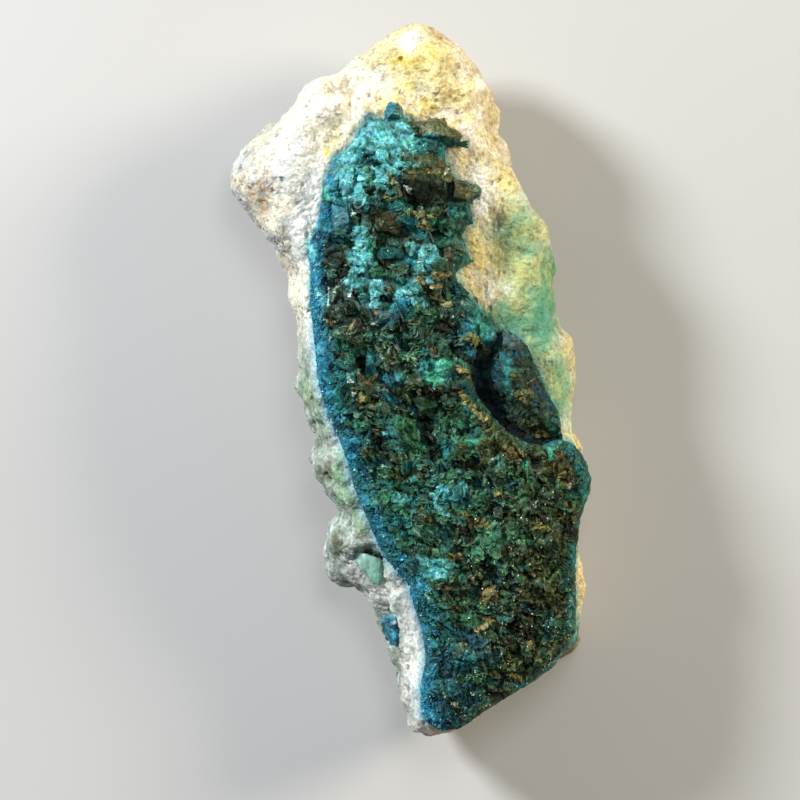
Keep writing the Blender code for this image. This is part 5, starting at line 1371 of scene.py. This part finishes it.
def shards(places, facing, sizes, rng):
    """The corners and colours of irregular crystals that stand at all angles."""
    turns = frames(facing, rng, 0.35)
    lows = painted(places)[0]
    for place, turn, size, low in zip(places, turns, sizes, lows):
        long, wide, high = size, size * rng.uniform(0.35, 0.75), size * rng.uniform(0.35, 0.6)
        signs = [(x * long, y * wide) for x in (-1, 1) for y in (-1, 1)]
        foot = [(x * rng.uniform(0.4, 0.55), y * rng.uniform(0.4, 0.55), -0.5 * high) for x, y in signs]
        top = [
            (x * rng.uniform(0.15, 0.42), y * rng.uniform(0.02, 0.36), high * rng.uniform(0.75, 1))
            for x, y in signs
        ]
        corners = np.array(foot + top) @ turn.T + place
        corners[:, 2] -= max(0.0, corners[:, 2].max() - HIGHEST_SHARD)
        tip = rgb(SHARD_TIPS[rng.integers(0, len(SHARD_TIPS))])
        yield corners, 0.8 * low, 0.5 * tip + 0.5 * low


CUTTING_ROUNDS = 5


def drop_doubled(shape):
    """Deletes faces that lie back to back on the same corners: slivers that cutting leaves along an edge."""
    like = {}
    for face in shape.faces:
        like.setdefault(frozenset(face.verts), []).append(face)
    doubled = [face for faces in like.values() if len(faces) > 1 for face in faces]
    bmesh.ops.delete(shape, geom=doubled, context="FACES")


def layered(crystals, rng, thickness, length):
    """Crystals as one mesh of growth layers: their own colours at foot and summit, mottled and speckled.

    Edges longer than length are cut in half, again and again.
    """
    whole = bmesh.new()
    whole.verts.layers.float_color.new("Tint")
    for corners, low, high in crystals:
        whole.from_mesh(mesh_from(layered_crystal(corners, low, high, rng, thickness), "part"))
    for _ in range(CUTTING_ROUNDS):
        bmesh.ops.triangulate(whole, faces=whole.faces)
        long = [edge for edge in whole.edges if edge.calc_length() > length]
        bmesh.ops.subdivide_edges(whole, edges=long, cuts=1)
    bmesh.ops.triangulate(whole, faces=whole.faces)
    drop_doubled(whole)
    mesh = mesh_from(whole, "layered")
    co, normal = coordinates(mesh), normals(mesh)
    coarse = grain(co, 0.6, 3, 60.0)
    rough = 0.035 * coarse + 0.03 * grain(co, 0.25, 2, 61.0)
    colour, _, gloss, soft, cover = painted(co)
    set_coordinates(mesh, co + rough[:, None] * normal)
    layer = mesh.color_attributes["Tint"].data
    values = np.empty(len(mesh.vertices) * 4, np.float32)
    layer.foreach_get("color", values)
    values = values.reshape(-1, 4)
    shade = 0.85 + 0.7 * grain(co, 0.35, 2, 62.0)
    mixed = np.maximum(0.85 * cover, 0.35 * ramp(grain(co, 0.8, 3, 63.0), 0.1, 0.6))[:, None]
    own = (values[:, :3] * (1 - mixed) + colour * mixed) * np.clip(shade, 0.4, 1.6)[:, None]
    speck = ramp(grain(co, 0.16, 2, 64.0) + 0.5 * coarse, 0.3, 0.7)[:, None] * 0.4
    own = own * (1 - speck) + np.clip(own * 1.8 + rgb("3a3016") * 0.4, 0, 1) * speck
    own *= [0.86, 1.0, 0.84]
    values[:, :3] = np.clip(own, 0, 1)
    values[:, 3] = 1 - 0.9 * soft
    layer.foreach_set("color", values.ravel())
    return mesh


def lamella(point, size, pitch):
    """Stacked plates, in patches that each have a direction.

    It gives how high a point is in its plate, and the plate's own random height, both 0 to 1.
    """
    _, centres = noise.voronoi(point / size)
    kind = noise.cell_vector(centres[0] * 31.0)
    direction = Vector((kind.x - 0.5, kind.y - 0.5, 0.45 * (kind.z - 0.5))).normalized()
    along = point.dot(direction) / pitch + 0.5 * noise.noise(point / (2.2 * pitch)) + 9 * kind.z
    number = math.floor(along)
    return along - number, noise.cell_vector(Vector((number, 7 * kind.x, 5 * kind.y)) + centres[0]).x


def coarseness(plan):
    """How coarse the crystals are: 1 towards the wide end, 0 towards the narrow end and the left edge."""
    wide = ramp(plan[:, 1] - 0.25 * plan[:, 0], -8, 2)
    return wide * ramp(distance_to(LEFT_EDGE, plan, closed=False), 0.3, 1.6)


def on_large(plan, margin):
    """Whether each point lies on one of the large crystals."""
    found = np.zeros(len(plan), bool)
    for foot, _, _, _ in LARGE_CRYSTALS.values():
        found |= inside(foot, plan) & (distance_to(foot, plan) > margin)
    return found


def crust_relief(co, soft, calm):
    """The crust's fused relief, how high each point stands in it, 0 to 1, and its curled ridges, 0 to 1.

    It has plates stacked in fans, curled ridges over them, and round lumps where the crust is soft.
    """
    plan = co[:, :2]
    coarse = coarseness(plan)
    columns = patch([(-7.0, 13.8, 1.5, 4.5, 1.0)], plan)
    found = np.zeros((6, len(co)))
    for index, place in enumerate(co):
        point = Vector(place)
        bent = point + 0.45 * noise.noise_vector(point / 1.1)
        up, step = lamella(bent, 1.8, 0.46)
        up_wide, step_wide = lamella(point * 1.01 + Vector((3, 1, 2)), 2.8, 0.9)
        if columns[index] > 0.35:
            wave = noise.noise(Vector((place[0], 0.25 * place[1], place[2])))
            along = place[0] / 0.5 + 0.8 * wave + 0.1 * place[1]
            number = math.floor(along)
            up_wide, step_wide = along - number, noise.cell_vector(Vector((number, place[1] // 2.2, 4.5))).x
        curl = noise.noise(bent / 0.85)
        fine = noise.noise(bent / 0.42 + Vector((7, 3, 1)))
        found[:, index] = up, step, up_wide, step_wide, curl, fine
    up, step, up_wide, step_wide, curl, fine = found
    curl, fine = np.exp(-((curl / 0.09) ** 2)), np.exp(-((fine / 0.13) ** 2))
    firm, lumps = 1 - soft, grain(co, 1.1, 3, 71.0)
    _, across, gap, fibre = leaves(co)
    leafy = firm * (1 - 0.6 * coarse)
    crack = leafy * (1 - ramp(gap, 0.0, 0.12))
    edge = leafy * np.exp(-(((gap - 0.11) / 0.06) ** 2)) * ramp(across, 0.05, 0.3)
    rise = firm * (0.12 * (up**0.6 - 0.5) + 0.14 * (step - 0.5)) + (0.06 + 0.08 * firm) * curl + 0.05 * fine
    rise += coarse * (1 - 0.8 * soft) * (0.30 * (up_wide**0.6 - 0.5) + 0.45 * (step_wide - 0.5))
    rise += 0.42 * leafy * np.clip(across, -0.6, 0.6) - 0.12 * crack + 0.06 * edge + 0.20 * soft * fibre
    rise += 0.20 * grain(co, 2.4, 2, 90.0) + soft * 0.09 * lumps
    share = firm * (0.08 + 0.30 * up + 0.26 * step + 0.26 * curl + 0.07 * fine)
    share += firm * coarse * (0.16 * up_wide + 0.14 * (step_wide - 0.5))
    share += soft * (0.32 + 0.22 * curl + 0.14 * fine + 0.30 * lumps + 0.75 * fibre)
    share += 0.35 * leafy * np.clip(across, -0.6, 0.6) - 0.30 * crack
    return rise * calm, np.clip(share, 0, 1), np.maximum(curl * (1 - 0.6 * leafy), edge)


def finished_crust(name, mesh, material, node, hidden, calm):
    """Gives a crust mesh its relief and its colours, and stores it."""
    co, normal = coordinates(mesh), normals(mesh)
    seen = np.flatnonzero(hidden < 0.5)
    colour, rise, gloss, soft, _ = painted(co[seen])
    relief, share, curl = crust_relief(co[seen], soft, calm[seen])
    firm = ramp(distance_to(CRUST_OUTLINE, co[seen, :2]), 0.0, 1.0) if node == "veszelyite_crust" else 1.0
    away = (relief + rise * firm + 0.04 * grain(co[seen], 0.3, 2, 12.0)) * (1 - hidden[seen])
    co[seen] += away[:, None] * normal[seen]
    set_coordinates(mesh, co)
    tints, shine = np.zeros((len(co), 3)) + rgb("0c3d49"), np.zeros(len(co)) + 0.3
    tints[seen], shine[seen] = lit(colour, share, curl, soft, co[seen]), gloss
    tint(mesh, tints, shine)
    placed(name, mesh, material, node)
    return co[seen], normal[seen], share


GLINTS = 520


def glints(co, normal, share, rng):
    """Tiny pale facets that stand out of the crust: painted glints, pale in colour so that they read as
    highlights.
    """
    plan = co[:, :2]
    right = ramp(plan[:, 0] - 0.2 * plan[:, 1], 6.0, 11.0) * ramp(-plan[:, 1], 8.0, 14.0)
    near = 1 - ramp(distance_to(LEFT_EDGE, plan, closed=False), 0.8, 2.2)
    chance = (0.10 + 1.0 * right + 0.5 * near) * ramp(share, 0.3, 0.8) * ramp(normal[:, 2], 0.2, 0.8)
    count = GLINTS
    chosen = rng.choice(len(co), count, p=chance / chance.sum())
    cold = np.clip(near[chosen] + 0.25 * rng.random(count), 0, 1)[:, None]
    colour = (rgb("e9dfb8") * (1 - cold) + rgb("cfe6ee") * cold) * rng.uniform(0.5, 1.1, (count, 1))
    size = np.stack([rng.uniform(*span, count) for span in ((0.06, 0.18), (0.03, 0.06), (0.05, 0.12))], 1)
    turns = frames(normal[chosen], rng, 0.6)
    return grown_mesh(*grow(WEDGE, lowered(co[chosen].copy()), turns, size, colour, colour, np.ones(count)))


CRUST_VOXEL, CRUST_KEPT = 0.132, 0.57
LET_IN = 0.45  # how far the crust's hidden underside is let into the rock


def crust_bed(material):
    """The solid of the crust itself, finely divided, with its underside let into the rock."""
    mesh = remeshed(solid_of("veszelyite_crust"), CRUST_VOXEL)
    co, normal = coordinates(mesh), normals(mesh)
    height = co[:, 2] - bed_height(co[:, :2])
    hidden = ramp(-normal[:, 2], 0.3, 0.7) * (1 - ramp(height, 0.5, 1.0))
    co[:, 2] -= LET_IN * hidden
    set_coordinates(mesh, co)
    mesh = hidden_simplified(mesh, hidden > 0.9, CRUST_KEPT)
    co, normal = coordinates(mesh), normals(mesh)
    height = co[:, 2] - bed_height(co[:, :2])
    hidden = ramp(-normal[:, 2], 0.3, 0.7) * (1 - ramp(height, 0.3, 0.8))
    calm = 0.3 + 0.7 * ramp(distance_to(CRUST_OUTLINE, co[:, :2]), 0.0, 0.9)
    calm = calm * np.where(on_large(co[:, :2], 0.1), 0.3, 1.0)
    return finished_crust("veszelyite_crust_bed", mesh, material, "veszelyite_crust", hidden, calm)


SLAB = 2  # the height of a slab before it gets its form


def slab(outline, voxel):
    """A closed, finely divided slab over an outline, standing on z = 0."""
    shape = bmesh.new()
    face = shape.faces.new([shape.verts.new((x, y, 0)) for x, y in outline])
    made = bmesh.ops.extrude_face_region(shape, geom=[face])
    raised = [item for item in made["geom"] if isinstance(item, bmesh.types.BMVert)]
    bmesh.ops.translate(shape, vec=(0, 0, SLAB), verts=raised)
    bmesh.ops.triangulate(shape, faces=shape.faces)
    bmesh.ops.recalc_face_normals(shape, faces=shape.faces)
    return remeshed(mesh_from(shape, "slab"), voxel)


# The right group, seen from above: its edge, its crest, and the crest's height above the bed.
GROUP_EDGE = [
    (7.4, 3.0), (7.6, 3.8), (8.25, 4.65), (8.9, 4.4), (9.8, 3.75), (10.5, 3.0), (10.9, 2.1), (11.4, 1.1),
    (11.9, 0.1), (12.2, -1.0), (12.7, -1.8), (13.2, -2.7), (13.45, -3.8), (13.4, -4.6), (13.0, -5.0),
    (11.2, -5.1), (9.6, -4.2), (8.7, -3.4), (7.9, -1.9), (7.1, -0.7), (6.8, 0.5), (7.1, 2.0),
]
GROUP_CREST = [
    (8.2, 4.3), (8.7, 3.3), (9.1, 1.8), (9.2, 0.4), (9.7, -0.9), (10.7, -2.4), (12.2, -4.0), (13.0, -4.6),
]
CREST_HEIGHT = [1.5, 2.5, 2.95, 3.0, 2.9, 2.5, 1.7, 1.2]
GROUP_VOXEL, GROUP_FACET = 0.11, 1.5


def group_bed(material):
    """The right group: one lens of crystal, crisp along its outer edge and sloping into the cleft."""
    mesh = slab(GROUP_EDGE, GROUP_VOXEL)
    co = coordinates(mesh)
    plan = co[:, :2]
    crest = np.array(GROUP_CREST)[::-1]
    crest_x = np.interp(plan[:, 1], crest[:, 1], crest[:, 0])
    crest_z = np.interp(plan[:, 1], crest[:, 1], CREST_HEIGHT[::-1])
    outer = ramp(plan[:, 0] - crest_x, -0.3, 0.3)
    to_edge, to_crest = distance_to(GROUP_EDGE, plan), distance_to(GROUP_CREST, plan, closed=False)
    along = to_edge / (to_edge + to_crest + 1e-6)
    foot = 0.25 + 1.15 * outer
    top = foot + (crest_z - foot) * (outer * np.sin(along * math.pi / 2) ** 0.8 + (1 - outer) * along)
    bent = plan + 0.12 * grain(co, 0.9, 2, 86.0)[:, None]
    for index, (x, y) in enumerate(bent / GROUP_FACET):
        centre = noise.voronoi(Vector((x, y, 3.3)))[1][0]
        kind = noise.cell_vector(centre * 23.0)
        top[index] += 0.30 * ((x - centre.x) * (kind.x - 0.5) + (y - centre.y) * (kind.y - 0.5)) * 2
    co[:, 2] = bed_height(plan) - 0.4 + (np.maximum(top, 0.15) + 0.4) * co[:, 2] / SLAB
    set_coordinates(mesh, co)
    hidden, calm = np.zeros(len(co)), np.full(len(co), 0.28)
    finished_crust("veszelyite_right_group_bed", mesh, material, "veszelyite_right_group", hidden, calm)


# The cleft, seen from above: the edge of its floor, and the line along which it is deepest.
CLEFT_BED = [
    (6.0, 5.2), (7.9, 4.8), (7.6, 3.0), (7.3, 1.0), (7.7, -0.6), (8.5, -2.2), (9.6, -3.4), (11.2, -4.6),
    (13.3, -4.5), (13.6, -5.5), (11.8, -6.2), (9.9, -5.9), (8.3, -4.9), (6.9, -3.3), (5.6, -1.6), (4.8, 0.6),
    (5.3, 2.6), (5.9, 3.7),
]
CLEFT_LINE = [
    (4.4, 3.4), (5.0, 1.9), (5.7, 0.5), (6.6, -1.2), (7.6, -2.9), (9.3, -4.5), (11.2, -5.4), (12.6, -5.6),
]
CLEFT_VOXEL = 0.15


def cleft_bed(material):
    """Crystals on the floor of the cleft, painted near black as shadow, rising to turquoise ones where it
    closes at its upper end.
    """
    mesh = slab(CLEFT_BED, CLEFT_VOXEL)
    co = coordinates(mesh)
    plan = co[:, :2]
    to_line = distance_to(CLEFT_LINE, plan, closed=False) + 0.15 * grain(co, 0.8, 2, 80.0)
    closing = ramp(plan[:, 1], 2.2, 4.2)
    top = 0.15 + (0.5 + 1.3 * closing) * ramp(to_line, 0.2, 1.2) + 0.3 * grain(co, 1.0, 2, 84.0)
    top *= 0.6 + 0.4 * ramp(distance_to(CLEFT_BED, plan), 0.0, 0.4)
    co[:, 2] = bed_height(plan) - 0.35 + (np.maximum(top, 0.1) + 0.35) * co[:, 2] / SLAB
    set_coordinates(mesh, co)
    normal = normals(mesh)
    colour, rise, _, soft, cover = painted(co)
    relief, share, curl = crust_relief(co, soft, np.full(len(co), 0.5))
    set_coordinates(mesh, co + (relief + 0.5 * rise * closing)[:, None] * normal)
    # Painted shadow: the cleft's floor near black, a little mottled.
    cleft_shadow = rgb("031219") * (1 + 1.5 * ramp(grain(co, 0.8, 2, 85.0), 0.0, 0.4))[:, None]
    mixed = np.clip(np.maximum(closing, 0.4 * cover * ramp(to_line, 0.3, 0.9)), 0, 1)[:, None]
    lightness = mixed[:, 0]
    colour = lit(cleft_shadow * (1 - mixed) + colour * mixed, share, curl * lightness, soft * lightness, co)
    tint(mesh, colour, 0.2 + 0.3 * lightness)
    placed("veszelyite_cleft_bed", mesh, material, "veszelyite_crust")


# The small pocket, seen from above, and the spots of colour on its crystals: colour, x, y, size.
SIDE_POCKET = [
    (-2.8, -21.2), (-2.85, -21.9), (-2.45, -22.9), (-1.85, -24.0), (-1.3, -24.5), (-0.9, -24.1),
    (-0.85, -21.4), (-1.2, -20.9), (-2.0, -20.9),
]
# The two near-white spots, d8e4e8, are painted glints.
POCKET_SPOTS = [
    ("7fb4c6", -2.1, -21.2, 0.35), ("7fb4c6", -1.4, -21.2, 0.30), ("0b2f48", -1.3, -22.2, 0.45),
    ("0d3040", -2.2, -22.0, 0.35), ("2a80aa", -1.5, -23.1, 0.4), ("2f8490", -2.0, -22.8, 0.4),
    ("2f8490", -2.5, -21.7, 0.3), ("d8e4e8", -1.38, -21.8, 0.14), ("d8e4e8", -1.63, -22.6, 0.10),
]
POCKET_VOXEL, POCKET_FLOOR = 0.11, 6.6


def side_cluster(material):
    """Blue crystals that line the small pocket near the narrow end."""
    mesh = slab(SIDE_POCKET, POCKET_VOXEL)
    co = coordinates(mesh)
    plan = co[:, :2]
    top = 9.75 + 0.9 * (plan[:, 0] + 0.9) + 0.10 * (plan[:, 1] + 22.5) + 0.5 * grain(co, 1.0, 2, 87.0)
    top -= 0.8 * (1 - ramp(distance_to(SIDE_POCKET, plan), 0.0, 0.6))
    co[:, 2] = POCKET_FLOOR + (top - POCKET_FLOOR) * co[:, 2] / SLAB
    set_coordinates(mesh, co)
    normal, half = normals(mesh), np.full(len(co), 0.5)
    relief, share, _ = crust_relief(co, half, half)
    set_coordinates(mesh, co + relief[:, None] * normal)
    wander = plan + 0.25 * np.stack([grain(co, 0.7, 2, 88.0), grain(co, 0.7, 2, 89.0)], 1)
    colour = np.zeros((len(co), 3)) + rgb("1a6385")
    for code, x, y, size in POCKET_SPOTS:
        near = np.exp(-((wander[:, 0] - x) ** 2 + (wander[:, 1] - y) ** 2) / size**2)[:, None]
        colour += (rgb(code) - colour) * near
    # Painted shade and light: darker where the relief is low, lighter where it stands up.
    tint(mesh, np.clip(colour * (0.35 + 1.3 * share)[:, None], 0, 1), 0.6)
    placed("veszelyite_side_cluster_crystals", mesh, material, "veszelyite_side_cluster")


# The thickness of the crystals' layers, and the length over which an edge is cut.
LARGE_LAYER, LARGE_EDGE = 0.55, 0.26
SHARD_LAYER, SHARD_EDGE = 0.35, 0.4
SHARDS, SHARD_SIZE = 40, (1.0, 2.2)
GLINT_SEED, LARGE_SEED, SHARD_SEED, BLADE_SEED = 9, 21, 23, 7


def open_side(points, facing):
    """How freely crystals grow: not underneath, and seldom on the large crystals."""
    on_top = on_large(points[:, :2], 0.15)
    return np.where(facing[:, 2] > -0.2, 1.0, 0.0) * np.where(on_top, 0.06, 1.0)


def upper(points, facing):
    """Where blades grow on the upper half: on firm crust, clear of its edge."""
    away = ramp(distance_to(CRUST_OUTLINE, points[:, :2]), 0.5, 1.3)
    calm = 1 - ramp(painted(points)[3], 0.15, 0.5)
    return open_side(points, facing) * away * calm * (0.02 + ramp(points[:, 1] - 0.25 * points[:, 0], -7, 1))


def lower(points, facing):
    """Where blades grow on the lower half."""
    away = ramp(distance_to(CRUST_OUTLINE, points[:, :2]), 0.2, 0.9)
    return open_side(points, facing) * away * (0.08 + ramp(-points[:, 1] + 0.25 * points[:, 0], -2, 5))


def edge(points, facing):
    """Where the tiny crystals grow: along the left edge."""
    near = 1 - ramp(distance_to(LEFT_EDGE, points[:, :2], closed=False), 0.8, 1.8)
    return open_side(points, facing) * near * ramp(-points[:, 1], -21, -16)


# Loose blades: where they grow, how many sheaves, blades in each, the least and most height and width, the
# shape, and then the flatness, lean, fan and tips that sheaves takes.
BLADES = {
    "veszelyite_upper_blades": (upper, 320, 4, (0.2, 0.4), (0.4, 1.1), WEDGE, 0.14, 0.4, 0.12, 0.3),
    "veszelyite_lower_blades": (lower, 900, 3, (0.10, 0.22), (0.25, 0.7), WEDGE, 0.12, 0.35, 0.10, 0.4),
    "veszelyite_edge_druse": (edge, 3600, 1, (0.05, 0.12), (0.10, 0.22), PRISM, 0.7, 0.5, 0.2, 0.1),
}


def crust():
    """Everything that is veszelyite: the beds first, then what grows on them."""
    glassy = crystal_material("veszelyite_crystal", 0.33, 0.65, 0.22)
    druse = crystal_material("veszelyite_druse", 0.42, 0.85, 0.12)
    sparks = glints(*crust_bed(druse), np.random.default_rng(GLINT_SEED))
    placed("veszelyite_glints", sparks, glassy, "veszelyite_crust")
    group_bed(druse)
    cleft_bed(druse)
    side_cluster(glassy)

    large = layered(large_crystals(), random.Random(LARGE_SEED), LARGE_LAYER, LARGE_EDGE)
    placed("veszelyite_large_crystals", large, glassy, "veszelyite_crust")

    rng = np.random.default_rng(BLADE_SEED)
    surface = solid_with_triangles("veszelyite_crust")
    places, facing = sample(surface, SHARDS, rng, upper)
    medium = shards(places - 0.25 * facing, facing, rng.uniform(*SHARD_SIZE, SHARDS), rng)
    medium = layered(medium, random.Random(SHARD_SEED), SHARD_LAYER, SHARD_EDGE)
    placed("veszelyite_medium_crystals", medium, glassy, "veszelyite_crust")

    for name, (where, count, each, heights, widths, shape, *form) in BLADES.items():
        places, facing = sample(surface, count, rng, where)
        size = np.stack([rng.uniform(*heights, count), rng.uniform(*widths, count)], 1)
        blades = sheaves(places, facing, rng, shape, each, size, *form)
        placed(name, blades, glassy, "veszelyite_crust")


def nodule():
    """The green nodule, wide above and narrow below like a tooth."""
    shape = bmesh.new()
    bmesh.ops.create_icosphere(shape, subdivisions=6, radius=1)
    mesh = mesh_from(shape, "nodule")
    co = coordinates(mesh)
    ring = np.maximum(np.hypot(co[:, 0], co[:, 2]), 1e-6)
    y = NODULE_TOP - (NODULE_TOP - NODULE_FOOT) * (1 - co[:, 1]) / 2
    left, right, half = (np.interp(y, NODULE_ROWS[:, 0], NODULE_ROWS[:, index]) for index in (1, 2, 3))
    inward = np.minimum(ring / 0.35, 1)
    x = (left + right) / 2 + (right - left) / 2 * inward * np.sign(co[:, 0]) * np.abs(co[:, 0] / ring) ** 0.7
    z = nodule_face(x, y) - 0.75 * half + half * inward * np.sign(co[:, 2]) * np.abs(co[:, 2] / ring) ** 0.7
    set_coordinates(mesh, np.stack([x, y, z], 1))
    mesh = smoothed(mesh, 8)
    co, normal = coordinates(mesh), normals(mesh)
    rise = 0.12 * grain(co * [1, 0.6, 1], 1.1, 3, 15.0) + 0.05 * grain(co * [1, 0.5, 1], 0.35, 2, 16.0)
    set_coordinates(mesh, co + rise[:, None] * normal)
    share = ramp(0.5 * grain(co * [1, 0.5, 1], 0.8, 3, 17.0) - 0.35 * (co[:, 1] + 17.0), -0.5, 0.6)[:, None]
    colour = rgb("8fb8ab") * (1 - share) + rgb("5c9a82") * share
    # Painted shadow: a darker band along the nodule's top, more to the right, under the gap.
    rim = ramp(co[:, 1] + 0.45 * co[:, 0] + 0.1 * grain(co, 0.5, 2, 18.0), -17.75, -17.2)[:, None]
    tint(mesh, colour + (rgb("2f5f55") - colour) * 0.6 * rim)
    placed("green_nodule_detail", mesh, nodule_material(), "green_nodule", smooth=True)


# ---------------------------------------------------------------- floor, light and camera

FLOOR_HALF = 0.6
LAMP_AIM = Vector((0, 0, 0.01))
LAMPS = {  # place, diameter, power, colour; in metres, as the floor and the camera are
    "key": ((-0.30, 0.20, 0.20), 0.10, 2.75, (0.97, 0.99, 1.0)),
    "fill": ((0.32, 0.12, 0.18), 0.14, 1.45, (1.0, 0.90, 0.70)),
    "top": ((0.06, 0.14, 0.42), 0.16, 0.45, (1.0, 1.0, 1.0)),
}
SKY_COLOUR, SKY_STRENGTH = (0.85, 0.92, 1.0, 1), 0.11
CAMERA_PLACE = (-0.00099, -0.00171, 0.412)  # straight over the middle of the picture, looking down
CAMERA_LENS, CAMERA_SENSOR, CAMERA_CLIP = 200, 36, 0.01


def studio():
    """A plain pale floor, soft lights, and a camera that looks straight down as the photo does."""
    shape = bmesh.new()
    bmesh.ops.create_grid(shape, x_segments=1, y_segments=1, size=FLOOR_HALF)
    mesh = mesh_from(shape, "floor")
    mesh.materials.append(floor_material())
    floor = linked("floor", mesh)

    for name, (place, size, energy, colour) in LAMPS.items():
        light = bpy.data.lights.new(name, "AREA")
        light.shape, light.size, light.energy, light.color = "DISK", size, energy, colour
        item = linked(name, light)
        item.location = place
        item.rotation_euler = (LAMP_AIM - Vector(place)).to_track_quat("-Z", "Y").to_euler()

    world = bpy.data.worlds.new("studio")
    world.use_nodes = True
    background = world.node_tree.nodes["Background"]
    background.inputs["Color"].default_value = SKY_COLOUR
    background.inputs["Strength"].default_value = SKY_STRENGTH
    bpy.context.scene.world = world

    data = bpy.data.cameras.new("camera")
    data.lens, data.sensor_width, data.clip_start = CAMERA_LENS, CAMERA_SENSOR, CAMERA_CLIP
    camera = linked("camera", data)
    camera.location = CAMERA_PLACE
    bpy.context.scene.camera = camera
    bpy.context.scene.view_settings.view_transform = "Standard"


rock()
crust()
nodule()
studio()

bpy.context.view_layer.update()
